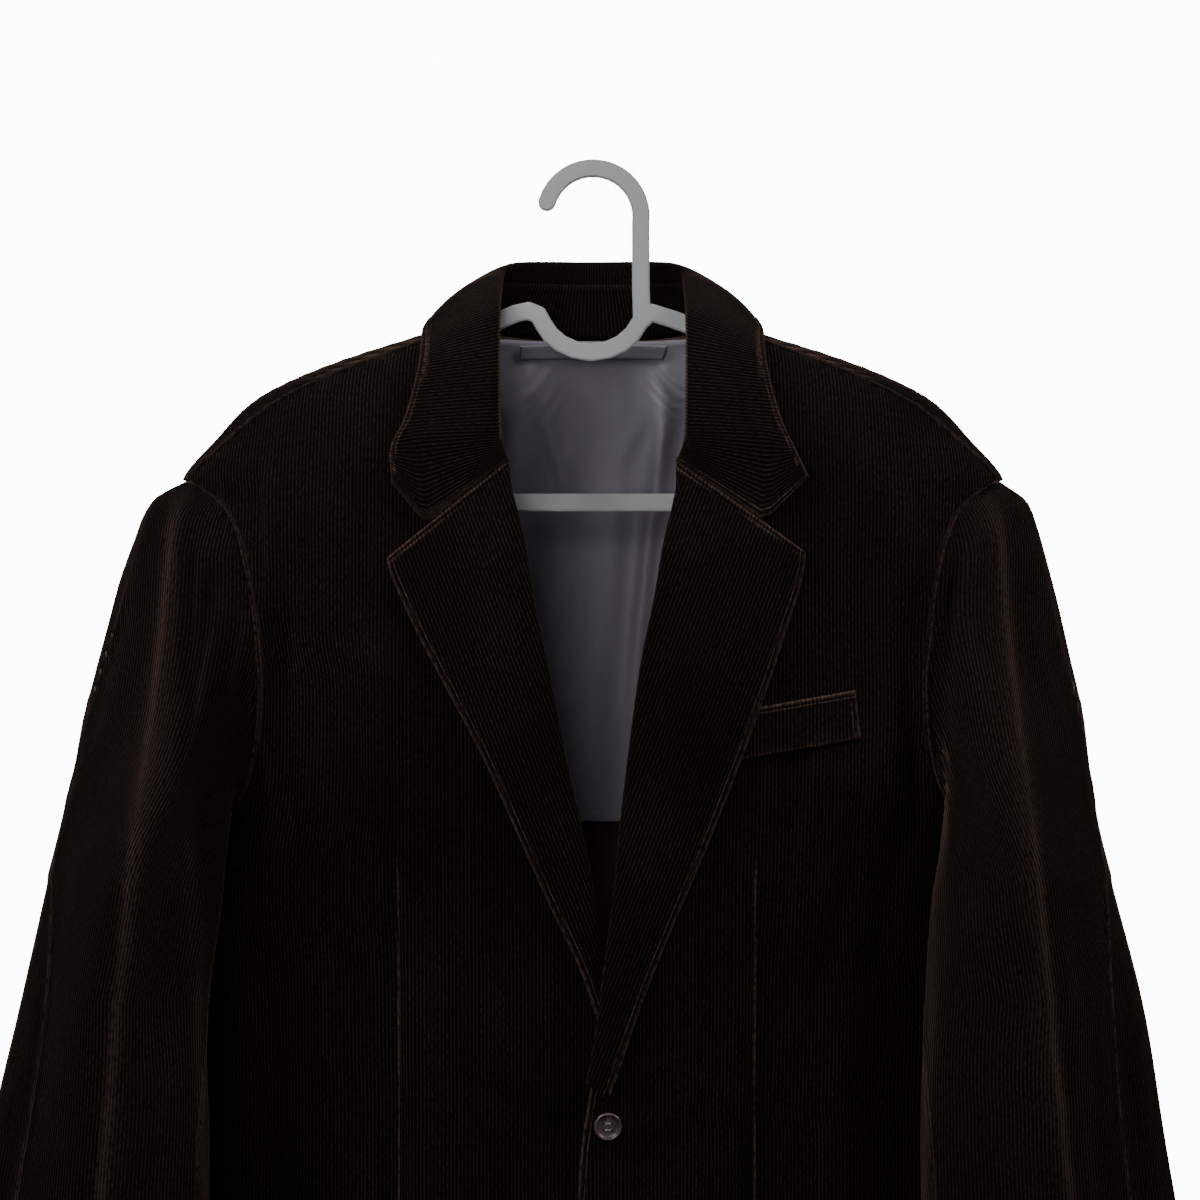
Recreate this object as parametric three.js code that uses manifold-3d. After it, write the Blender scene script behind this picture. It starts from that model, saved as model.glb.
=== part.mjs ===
// A corduroy jacket hanging on a flat plastic hanger, modelled as the pieces that were cut and sewn.
// Millimetres, +Z up. The origin is the inside top of the hanger's hook, where a rail carries it.
// The front faces -Y and the wearer's left side is +X. Each cloth piece is a closed wall of even thickness.
import * as THREE from "three";
import { mergeVertices } from "three/addons/utils/BufferGeometryUtils.js";
import Module from "manifold-3d";

const wasm = await Module();
wasm.setup();

// Driving dimensions
const CLOTH = 2.4; // wall of the corduroy
const SEAM_GAP = 0.3; // between two pieces that are sewn together
const LINING = 1.0; // wall of the lining
const SHOULDER_Z = -174.5; // top of the armhole seam
const ARMPIT_Z = -380;
const HEM_Z = -832;
const CUFF_Z = -795;
const UPPER_ARM_Z = -402; // the first sleeve ring that is clear of the armhole
const SIDE_ROUNDNESS = 0.9; // exponent of the body's section: 1 is an ellipse, less is flatter in front
const BREAK_Z = -546; // where the lapels start to turn back
const SLEEVE_CLEARANCE = 4; // between a sleeve and the body beside it
const FRONT_OVERLAP_LIFT = 8.2; // the left front lies this far out where it covers the right lapel
const HEM_OVERLAP_LIFT = 4.6; // and this far out where it covers the right front alone
const LINING_HEM_Z = -372;

const V = (x, y, z) => new THREE.Vector3(x, y, z);
const mix = (a, b, t) => a + (b - a) * t;
const clamp01 = (t) => Math.min(1, Math.max(0, t));
const smooth = (a, b, x) => {
  const t = clamp01((x - a) / (b - a));
  return t * t * (3 - 2 * t);
};

// A smooth curve through a table's rows: from column `key`, which falls or rises steadily, to column `value`.
function through(table, key, value) {
  const rows = [...table].sort((p, q) => p[key] - q[key]);
  const slope = (i) => {
    const a = rows[Math.max(0, i - 1)];
    const b = rows[Math.min(rows.length - 1, i + 1)];
    return (b[value] - a[value]) / (b[key] - a[key]);
  };
  return (at) => {
    const x = Math.min(rows[rows.length - 1][key], Math.max(rows[0][key], at));
    let i = 0;
    while (i < rows.length - 2 && rows[i + 1][key] < x) i++;
    const h = rows[i + 1][key] - rows[i][key];
    const t = (x - rows[i][key]) / h;
    const [t2, t3] = [t * t, t * t * t];
    return (
      (2 * t3 - 3 * t2 + 1) * rows[i][value] +
      (t3 - 2 * t2 + t) * h * slope(i) +
      (3 * t2 - 2 * t3) * rows[i + 1][value] +
      (t3 - t2) * h * slope(i + 1)
    );
  };
}

// The body: a row for each level, with its half width and how far it stands out in front and behind.
// Above the armhole the half width follows the shoulder line.
const BODY = [
  { z: -76, half: 58, front: 38, back: 38 },
  { z: -82, half: 75, front: 40, back: 40 },
  { z: -90.6, half: 99, front: 43, back: 43 },
  { z: -101.5, half: 134, front: 47, back: 46 },
  { z: -113.5, half: 166, front: 51, back: 49 },
  { z: -127.7, half: 193, front: 55, back: 53 },
  { z: -149, half: 214, front: 61, back: 58 },
  { z: SHOULDER_Z, half: 235, front: 66, back: 62 },
  { z: -225, half: 244, front: 74, back: 66 },
  { z: -300, half: 249, front: 79, back: 67 },
  { z: ARMPIT_Z, half: 250, front: 77, back: 63 },
  { z: -440, half: 246, front: 73, back: 58 },
  { z: -510, half: 238, front: 69, back: 54 },
  { z: -580, half: 241, front: 67, back: 55 },
  { z: -660, half: 249, front: 67, back: 58 },
  { z: -750, half: 257, front: 67, back: 60 },
  { z: HEM_Z, half: 263, front: 67, back: 61 },
];
const bodyHalf = through(BODY, "z", "half");
const bodyFront = through(BODY, "z", "front");
const bodyBack = through(BODY, "z", "back");

// Soft ridges (+) and troughs (-) of the body, each a line from its top to its bottom.
// side -1 is the front and +1 the back; height and width are in mm.
const DART = { share: 5 / 12, top: -391, rightX: 108, leftX: 90 };
const BODY_FOLDS = [
  { side: -1, topX: -192, topZ: -182, endX: -199, endZ: -345, height: 5, width: 17 },
  { side: -1, topX: -166, topZ: -190, endX: -160, endZ: -360, height: -3, width: 19 },
  { side: -1, topX: 186, topZ: -182, endX: 193, endZ: -345, height: 5, width: 17 },
  { side: -1, topX: 160, topZ: -190, endX: 150, endZ: -350, height: -3, width: 19 },
  { side: -1, topX: -120, topZ: -240, endX: -112, endZ: -420, height: 4, width: 18 },
  { side: -1, topX: -DART.rightX, topZ: DART.top, endX: -DART.rightX, endZ: -640, height: -4, width: 10 },
  { side: -1, topX: DART.leftX, topZ: DART.top, endX: DART.leftX, endZ: -640, height: -4, width: 10 },
  { side: -1, topX: 152, topZ: -310, endX: 118, endZ: -470, height: 3.5, width: 20 },
  { side: -1, topX: -150, topZ: -400, endX: -165, endZ: -850, height: 4, width: 22 },
  { side: -1, topX: 140, topZ: -480, endX: 158, endZ: -850, height: 4, width: 22 },
  { side: 1, topX: -150, topZ: -150, endX: -95, endZ: -420, height: 4.5, width: 26 },
  { side: 1, topX: 150, topZ: -150, endX: 92, endZ: -420, height: 4.5, width: 26 },
  { side: 1, topX: -50, topZ: -120, endX: -42, endZ: -380, height: -3.5, width: 24 },
  { side: 1, topX: 46, topZ: -120, endX: 50, endZ: -380, height: -3.5, width: 24 },
  { side: 1, topX: -120, topZ: -430, endX: -135, endZ: -860, height: 5, width: 28 },
  { side: 1, topX: 118, topZ: -430, endX: 138, endZ: -860, height: 5, width: 28 },
];
function bodyFold(x, z, side) {
  let sum = 0;
  for (const f of BODY_FOLDS) {
    if (f.side !== side) continue;
    const along = (f.topZ - z) / (f.topZ - f.endZ);
    if (along <= 0 || along >= 1) continue;
    const off = (x - mix(f.topX, f.endX, along)) / f.width;
    const fade = smooth(0, 0.25, along) * smooth(1, 0.7, along);
    sum += f.height * fade * Math.exp(-off * off);
  }
  return sum;
}

// A point of the body's outer surface. phi is 0 at the front, 90 at the +X side and 180 behind, in degrees.
function bodyPoint(phi, z, lift = 0) {
  const p = THREE.MathUtils.degToRad(phi);
  const cos = Math.cos(p);
  const behind = cos < 0;
  const depth = behind ? bodyBack(z) : bodyFront(z);
  const x = bodyHalf(z) * Math.sin(p);
  const reach = Math.abs(cos) ** SIDE_ROUNDNESS;
  const fold = bodyFold(x, z, behind ? 1 : -1) * smooth(0, 0.35, reach);
  const out = depth * reach + fold + lift;
  return V(x, behind ? out : -out, z);
}
function bodyNormal(phi, z) {
  const across = bodyPoint(phi + 0.5, z).sub(bodyPoint(phi - 0.5, z));
  const up = bodyPoint(phi, z + 0.5).sub(bodyPoint(phi, z - 0.5));
  return across.cross(up).normalize();
}
// The angle at which the body's front has that x.
const angleAt = (x, z) =>
  THREE.MathUtils.radToDeg(Math.asin(Math.max(-1, Math.min(1, x / bodyHalf(z)))));
const frontY = (x, z, lift = 0) => bodyPoint(angleAt(x, z), z, lift).y;

// The left front is lifted where it crosses the right one.
const overlapLift = (x, z) =>
  mix(HEM_OVERLAP_LIFT, FRONT_OVERLAP_LIFT, smooth(-640, -560, z)) * smooth(95, 32, x) *
  smooth(-330, -420, z);

// Seams
// The armhole, from the shoulder down: x of its front and back edges at each level.
const ARMHOLE = [
  { z: SHOULDER_Z, front: 229, back: 235 },
  { z: -177, front: 224, back: 229 },
  { z: -182, front: 215, back: 222 },
  { z: -190, front: 206, back: 215 },
  { z: -205, front: 198, back: 208 },
  { z: -225, front: 192.5, back: 203 },
  { z: -257, front: 187, back: 200 },
  { z: -300, front: 185, back: 200 },
  { z: -340, front: 191, back: 205 },
  { z: -360, front: 202, back: 216 },
  { z: -372, front: 219, back: 230 },
  { z: ARMPIT_Z, front: 249, back: 249 },
];
const armholeFront = through(ARMHOLE, "z", "front");
const armholeBack = through(ARMHOLE, "z", "back");
// The shoulder seam lies in front of the shoulder line: its distance at each level.
const SHOULDER_SEAM = [
  { z: -84, forward: 22 },
  { z: -100, forward: 26 },
  { z: -125, forward: 25 },
  { z: -150, forward: 20 },
  { z: SHOULDER_Z, forward: 15 },
];
const seamForward = through(SHOULDER_SEAM, "z", "forward");
const shoulderSeamAngle = (z) =>
  THREE.MathUtils.radToDeg(Math.acos((seamForward(z) / bodyFront(z)) ** (1 / SIDE_ROUNDNESS)));
// The neck seam: its level at each angle round the body.
const NECK = [
  { phi: 12.5, z: -166 },
  { phi: 16, z: -140 },
  { phi: 22, z: -115 },
  { phi: 36, z: -96 },
  { phi: 60, z: -85.5 },
  { phi: 90, z: -82.5 },
  { phi: 120, z: -84 },
  { phi: 145, z: -87 },
  { phi: 162, z: -89.5 },
  { phi: 180, z: -90 },
];
const neckZ = through(NECK, "phi", "z");
const neckAngle = through(NECK.slice(0, 5), "z", "phi");
const NECK_SEAM_Z = -166;

// Front edges below the break and roll lines above it: how far each is from the middle, at each level.
// For the right front x is mirrored, so a negative number lies on the wearer's left of the middle.
const FRONT_EDGE = {
  left: [
    { z: NECK_SEAM_Z, x: 49.5 },
    { z: -193, x: 43.4 },
    { z: -212, x: 38.8 },
    { z: -242, x: 33.7 },
    { z: -277, x: 26.5 },
    { z: -308, x: 22 },
    { z: -364, x: 15 },
    { z: -407, x: 11 },
    { z: -438, x: 6.7 },
    { z: -468, x: 2.9 },
    { z: -520, x: -3 },
    { z: BREAK_Z, x: -6.5 },
    { z: -600, x: -9.5 },
    { z: -700, x: -8 },
    { z: -760, x: -2 },
    { z: -795, x: 12 },
    { z: -818, x: 32 },
    { z: HEM_Z, x: 56 },
  ],
  right: [
    { z: NECK_SEAM_Z, x: 49.5 },
    { z: -188, x: 42.9 },
    { z: -213, x: 36.7 },
    { z: -242, x: 32.3 },
    { z: -286, x: 22.9 },
    { z: -336, x: 13 },
    { z: -364, x: 6.4 },
    { z: -425, x: -5.6 },
    { z: -465, x: -11.5 },
    { z: -500, x: -18 },
    { z: BREAK_Z, x: -22.5 },
    { z: -600, x: -23 },
    { z: -700, x: -21 },
    { z: -760, x: -14 },
    { z: -795, x: 2 },
    { z: -818, x: 24 },
    { z: HEM_Z, x: 50 },
  ],
};
const frontEdge = {
  left: through(FRONT_EDGE.left, "z", "x"),
  right: through(FRONT_EDGE.right, "z", "x"),
};

// Walls
// A closed solid between two grids of points, rows by columns, with a rim round its four sides.
function wall(outer, inner) {
  const [rows, columns] = [outer.length, outer[0].length];
  const at = (layer, j, i) => layer * rows * columns + j * columns + i;
  const positions = [...outer.flat(), ...inner.flat()].flatMap((p) => [p.x, p.y, p.z]);
  const index = [];
  const quad = (a, b, c, d) => index.push(a, b, c, a, c, d);
  const shorter = (grid, j, i) =>
    grid[j][i].distanceTo(grid[j + 1][i + 1]) < grid[j][i + 1].distanceTo(grid[j + 1][i]);
  for (let j = 0; j < rows - 1; j++)
    for (let i = 0; i < columns - 1; i++) {
      const face = [at(0, j, i), at(0, j, i + 1), at(0, j + 1, i + 1), at(0, j + 1, i)];
      const back = [at(1, j, i), at(1, j + 1, i), at(1, j + 1, i + 1), at(1, j, i + 1)];
      if (!shorter(outer, j, i)) face.push(face.shift());
      if (!shorter(inner, j, i)) back.push(back.shift());
      quad(...face);
      quad(...back);
    }
  for (let j = 0; j < rows - 1; j++) {
    quad(at(0, j, 0), at(0, j + 1, 0), at(1, j + 1, 0), at(1, j, 0));
    const e = columns - 1;
    quad(at(0, j, e), at(1, j, e), at(1, j + 1, e), at(0, j + 1, e));
  }
  for (let i = 0; i < columns - 1; i++) {
    quad(at(0, 0, i + 1), at(0, 0, i), at(1, 0, i), at(1, 0, i + 1));
    const e = rows - 1;
    quad(at(0, e, i), at(0, e, i + 1), at(1, e, i + 1), at(1, e, i));
  }
  return facingOut(positions, index);
}
function facingOut(positions, index) {
  const g = new THREE.BufferGeometry();
  g.setAttribute("position", new THREE.Float32BufferAttribute(positions, 3));
  const p = (k) => V(...positions.slice(3 * k, 3 * k + 3));
  let volume = 0;
  for (let k = 0; k < index.length; k += 3)
    volume += p(index[k]).dot(p(index[k + 1]).cross(p(index[k + 2]))) / 6;
  if (volume < 0)
    for (let k = 0; k < index.length; k += 3)
      [index[k + 1], index[k + 2]] = [index[k + 2], index[k + 1]];
  g.setIndex(index);
  return g;
}
// The normals of a grid of points, from each point's neighbours.
function gridNormals(points) {
  const [rows, columns] = [points.length, points[0].length];
  const near = (j, i) =>
    points[Math.min(rows - 1, Math.max(0, j))][Math.min(columns - 1, Math.max(0, i))];
  return points.map((row, j) =>
    row.map((_, i) => {
      const across = near(j, i + 1).clone().sub(near(j, i - 1));
      const along = near(j + 1, i).clone().sub(near(j - 1, i));
      return across.cross(along).normalize();
    }),
  );
}
const offsetGrid = (points, normals, by) =>
  points.map((row, j) => row.map((p, i) => p.clone().addScaledVector(normals[j][i], by)));
const range = (n) => Array.from({ length: n }, (_, i) => i);
const steps = (n) => range(n + 1).map((i) => i / n);

// Materials
const material = (color, roughness) =>
  new THREE.MeshStandardMaterial({ color, roughness, metalness: 0 });
const CORDUROY = material(0x1d120c, 0.95);
const LINING_CLOTH = material(0x55535a, 0.55);
const PLASTIC = material(0x5e5e61, 0.5);
const BUTTON = material(0x2a211d, 0.3);

const jacket = new THREE.Group();
function add(name, geometry, kind) {
  const mesh = new THREE.Mesh(geometry, kind);
  mesh.name = name;
  jacket.add(mesh);
}

// Body panels
const SIDE_ROWS = [HEM_Z, -819, -802, -780, -735, -685, -635, -590, -550, -510, -472, -436, -405];
const ARMHOLE_ROWS = [
  ARMPIT_Z, -377.5, -372, -362, -346, -322, -292, -262, -235, -213, -197, -186, -179.5, -176.2,
];
const SHOULDER_ROWS = [-173, -163, -149, -134, -120, -107, -97];
const HALF_GAP_ANGLE = 0.035; // turns the edges of two panels that meet on the body half a seam gap apart

// Where a panel's edge turns sharply, at the shoulder point and under the arm, only the last columns
// follow it, so that no row shears.
function spread(edgeAngle, z) {
  const end = edgeAngle(z);
  for (const [low, high] of [[-450, -320], [-213, -134]])
    if (z > low && z < high) {
      const near = mix(edgeAngle(low), edgeAngle(high), smooth(low, high, z));
      return (u) => mix(near, end, smooth(0.55, 1, u));
    }
  return () => end;
}

function frontPanel(side) {
  const left = side === "left";
  const mirror = left ? 1 : -1;
  const zs = [...SIDE_ROWS, ...ARMHOLE_ROWS, ...SHOULDER_ROWS, -87.6];
  const outerAngle = (z) => {
    if (z < ARMPIT_Z - 0.5) return 90;
    if (z > SHOULDER_Z) return shoulderSeamAngle(z);
    return angleAt(armholeFront(z), z);
  };
  const innerAngle = (z) =>
    z > NECK_SEAM_Z ? neckAngle(z) : angleAt(frontEdge[side](z), z);
  const columns = steps(12);
  // One column follows the waist dart, so that its crease stays sharp.
  const angles = zs.map((z) => {
    const from = innerAngle(z);
    const to = spread(outerAngle, z);
    const level = smooth(-340, -240, z);
    const sewn = angleAt(left ? DART.leftX : DART.rightX, z);
    const dart = mix(sewn, mix(from, to(DART.share), DART.share), level);
    return columns.map((u) => {
      const after = (u - DART.share) / (1 - DART.share);
      return u < DART.share ? mix(from, dart, u / DART.share) : mix(dart, to(u) - HALF_GAP_ANGLE * 2, after);
    });
  });
  const outer = zs.map((z, j) =>
    angles[j].map((phi) => {
      const lift = left ? overlapLift(bodyPoint(phi, z).x, z) : 0;
      return bodyPoint(phi * mirror, z, lift);
    }),
  );
  const inner = outer.map((row, j) =>
    row.map((p, i) => p.clone().addScaledVector(bodyNormal(angles[j][i] * mirror, zs[j]), -CLOTH)),
  );
  return { outer, inner };
}

function backPanel(side) {
  const mirror = side === "left" ? 1 : -1;
  const zs = [...SIDE_ROWS, ...ARMHOLE_ROWS, ...SHOULDER_ROWS, -86.2];
  const outerAngle = (z) => {
    if (z < ARMPIT_Z - 0.5) return 90 + HALF_GAP_ANGLE * 2;
    if (z > SHOULDER_Z) return shoulderSeamAngle(z) + HALF_GAP_ANGLE * 4;
    return 180 - angleAt(armholeBack(z), z);
  };
  const columns = steps(9);
  const points = zs.map((z) => {
    const to = spread(outerAngle, z);
    const bend = smooth(-160, -86.2, z);
    return columns.map((u) => {
      const phi = mix(180 - HALF_GAP_ANGLE, to(u), u);
      return { phi: phi * mirror, z: z + bend * (neckZ(phi) - neckZ(to(1))) };
    });
  });
  const outer = points.map((row) => row.map(({ phi, z }) => bodyPoint(phi, z)));
  const inner = outer.map((row, j) =>
    row.map((p, i) => p.clone().addScaledVector(bodyNormal(points[j][i].phi, points[j][i].z), -CLOTH)),
  );
  return { outer, inner };
}

const panels = {};
for (const side of ["left", "right"]) {
  panels[side] = { front: frontPanel(side), back: backPanel(side) };
  add(`front_${side}`, wall(panels[side].front.outer, panels[side].front.inner), CORDUROY);
  add(`back_${side}`, wall(panels[side].back.outer, panels[side].back.inner), CORDUROY);
}

// The depth of a front panel's outer face at a place seen from the front, on its own facets.
function seatY(side, x, z) {
  const { outer } = panels[side].front;
  let found = null;
  for (let j = 0; j < outer.length - 1; j++) {
    if (Math.max(outer[j + 1][0].z, outer[j][0].z) < z - 1) continue;
    if (Math.min(outer[j + 1][0].z, outer[j][0].z) > z + 1) continue;
    for (let i = 0; i < outer[0].length - 1; i++) {
      const [a, b, c, d] = [outer[j][i], outer[j][i + 1], outer[j + 1][i + 1], outer[j + 1][i]];
      for (const [p, q, r] of [[a, b, c], [a, c, d]]) {
        const area = (q.x - p.x) * (r.z - p.z) - (r.x - p.x) * (q.z - p.z);
        const u = ((x - p.x) * (r.z - p.z) - (r.x - p.x) * (z - p.z)) / area;
        const v = ((q.x - p.x) * (z - p.z) - (x - p.x) * (q.z - p.z)) / area;
        if (u < -1e-6 || v < -1e-6 || u + v > 1 + 1e-6) continue;
        const y = p.y + u * (q.y - p.y) + v * (r.y - p.y);
        found = found === null ? y : Math.min(found, y);
      }
    }
  }
  return found;
}

// Sleeves
// A row for each level: the inner and outer edge seen from the front, the foremost and hindmost depth,
// and how far the inner edge lies in front of the outer one. x is mirrored for the right sleeve.
const SLEEVE = {
  left: [
    { z: UPPER_ARM_Z, inX: 187, outX: 293, front: -106, back: 34, turn: 14 },
    { z: -470, inX: 184, outX: 309, front: -108, back: 2, turn: 16 },
    { z: -540, inX: 181, outX: 319, front: -108, back: -18, turn: 14 },
    { z: -610, inX: 183, outX: 329, front: -108, back: -38, turn: 10 },
    { z: -700, inX: 192, outX: 338, front: -111, back: -54, turn: 7 },
    { z: CUFF_Z, inX: 205, outX: 346, front: -114, back: -68, turn: 5 },
  ],
  right: [
    { z: UPPER_ARM_Z, inX: 204, outX: 308, front: -106, back: 36, turn: 14 },
    { z: -470, inX: 214, outX: 322, front: -109, back: 12, turn: 16 },
    { z: -540, inX: 212, outX: 337, front: -110, back: -14, turn: 14 },
    { z: -610, inX: 212, outX: 350, front: -110, back: -36, turn: 10 },
    { z: -700, inX: 221, outX: 362, front: -112, back: -55, turn: 7 },
    { z: CUFF_Z, inX: 232, outX: 372, front: -115, back: -68, turn: 5 },
  ],
};
// Folds of each sleeve. A place round the sleeve is a share of a turn: 0 outside, 0.25 in front, 0.5 inside.
const SLEEVE_FOLDS = {
  left: [
    { topZ: -190, endZ: -860, topAt: 0.1, endAt: 0.245, settle: 90, height: 9, width: 0.065 },
    { topZ: -230, endZ: -860, topAt: 0.07, endAt: 0.13, settle: 90, height: -8, width: 0.055 },
    { topZ: -215, endZ: -430, topAt: 0.3, endAt: 0.37, settle: 110, height: -9, width: 0.06 },
    { topZ: -420, endZ: -600, topAt: 0.82, endAt: 0.7, settle: 90, height: -7, width: 0.07 },
    { topZ: -290, endZ: -760, topAt: 0.72, endAt: 0.82, settle: 150, height: 6, width: 0.08 },
  ],
  right: [
    { topZ: -190, endZ: -860, topAt: 0.1, endAt: 0.27, settle: 90, height: 10, width: 0.065 },
    { topZ: -230, endZ: -860, topAt: 0.08, endAt: 0.145, settle: 90, height: -8, width: 0.055 },
    { topZ: -205, endZ: -520, topAt: 0.29, endAt: 0.38, settle: 120, height: -11, width: 0.065 },
    { topZ: -430, endZ: -620, topAt: 0.8, endAt: 0.7, settle: 90, height: -7, width: 0.07 },
    { topZ: -290, endZ: -760, topAt: 0.7, endAt: 0.8, settle: 150, height: 6, width: 0.08 },
  ],
};
function sleeveFold(side, at, z) {
  let sum = 0;
  for (const f of SLEEVE_FOLDS[side]) {
    const along = (f.topZ - z) / (f.topZ - f.endZ);
    if (along <= 0 || along >= 1) continue;
    const middle = mix(f.endAt, f.topAt, Math.exp((z - f.topZ) / f.settle));
    let off = Math.abs(at - middle);
    off = Math.min(off, 1 - off) / f.width;
    sum += f.height * smooth(0, 0.15, along) * smooth(1, 0.8, along) * Math.exp(-off * off);
  }
  return sum;
}
// Moves a point out of the body and its clearance, straight away from the middle.
function clearOfBody(p, clearance) {
  for (let n = 0; n < 3; n++) {
    const depth = (p.y < 0 ? bodyFront(p.z) : bodyBack(p.z)) + clearance;
    const across = (p.x / (bodyHalf(p.z) + clearance)) ** 2;
    const reach = Math.sqrt(across + Math.abs(p.y / depth) ** (2 / SIDE_ROUNDNESS));
    const wanted = (1 + reach ** 40) ** (1 / 40);
    p.x *= wanted / reach;
    p.y *= wanted / reach;
  }
  return p;
}
const sleeveCurves = {};
for (const side of ["left", "right"])
  sleeveCurves[side] = Object.fromEntries(
    ["inX", "outX", "front", "back", "turn"].map((k) => [k, through(SLEEVE[side], "z", k)]),
  );
// Under the arm the sleeve's columns start at the side of the body and come forward lower down.
const ringAt = (at, z) => at + 0.13 * smooth(-560, UPPER_ARM_Z, z) * Math.sin(at * Math.PI) ** 2;
// The outline of the upper sleeve, seen from the front.
const OUTLINE = {
  left: [
    { z: -173, x: 231.5 },
    { z: -178, x: 234.5 },
    { z: -192, x: 239.5 },
    { z: -212, x: 247 },
    { z: -237, x: 255.5 },
    { z: -270, x: 265 },
    { z: -301, x: 274 },
    { z: -335, x: 280.5 },
    { z: -369, x: 286 },
    { z: UPPER_ARM_Z, x: 294 },
  ],
  right: [
    { z: -173, x: 233 },
    { z: -178, x: 240 },
    { z: -192, x: 249 },
    { z: -205, x: 253 },
    { z: -231, x: 262.5 },
    { z: -256, x: 270 },
    { z: -276, x: 276.5 },
    { z: -310, x: 287 },
    { z: -350, x: 296.5 },
    { z: UPPER_ARM_Z, x: 309 },
  ],
};
// A point of the hanging part of a sleeve, with x mirrored for the right one.
function sleevePoint(side, place, z) {
  const c = sleeveCurves[side];
  const at = ringAt(place, z);
  const turn = at * 2 * Math.PI;
  const [halfX, halfY] = [(c.outX(z) - c.inX(z)) / 2, (c.back(z) - c.front(z)) / 2];
  const fold = sleeveFold(side, at, z);
  const x = (c.outX(z) + c.inX(z)) / 2 + (halfX + fold * 0.25) * Math.cos(turn);
  const y =
    (c.back(z) + c.front(z)) / 2 - (halfY + fold) * Math.sin(turn) + c.turn(z) * Math.cos(turn);
  return clearOfBody(V(x, y, z), SLEEVE_CLEARANCE);
}
const ARM_TOP_ROWS = [0, 0.05, 0.13, 0.24, 0.37, 0.52, 0.68, 0.84, 1];
const ARM_ROWS = [-424, -450, -480, -512, -548, -590, -640, -700, CUFF_Z];
const INSEAM_AT = 0.44;
const ELBOW_MIDDLE = 0.98; // where the level of a sleeve row is read for the elbow seam
const HEAD_GAP = 0.5; // between the armhole's edge and the sleeve's first row
// The elbow seam runs behind the upper arm and comes round to the outside below it.
const ELBOW_SEAM = [
  { z: -175, at: 0.84 },
  { z: -250, at: 0.9 },
  { z: -330, at: 0.99 },
  { z: -400, at: 1.07 },
  { z: -460, at: 1.12 },
  { z: -540, at: 1.145 },
  { z: CUFF_Z, at: 1.15 },
];

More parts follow.
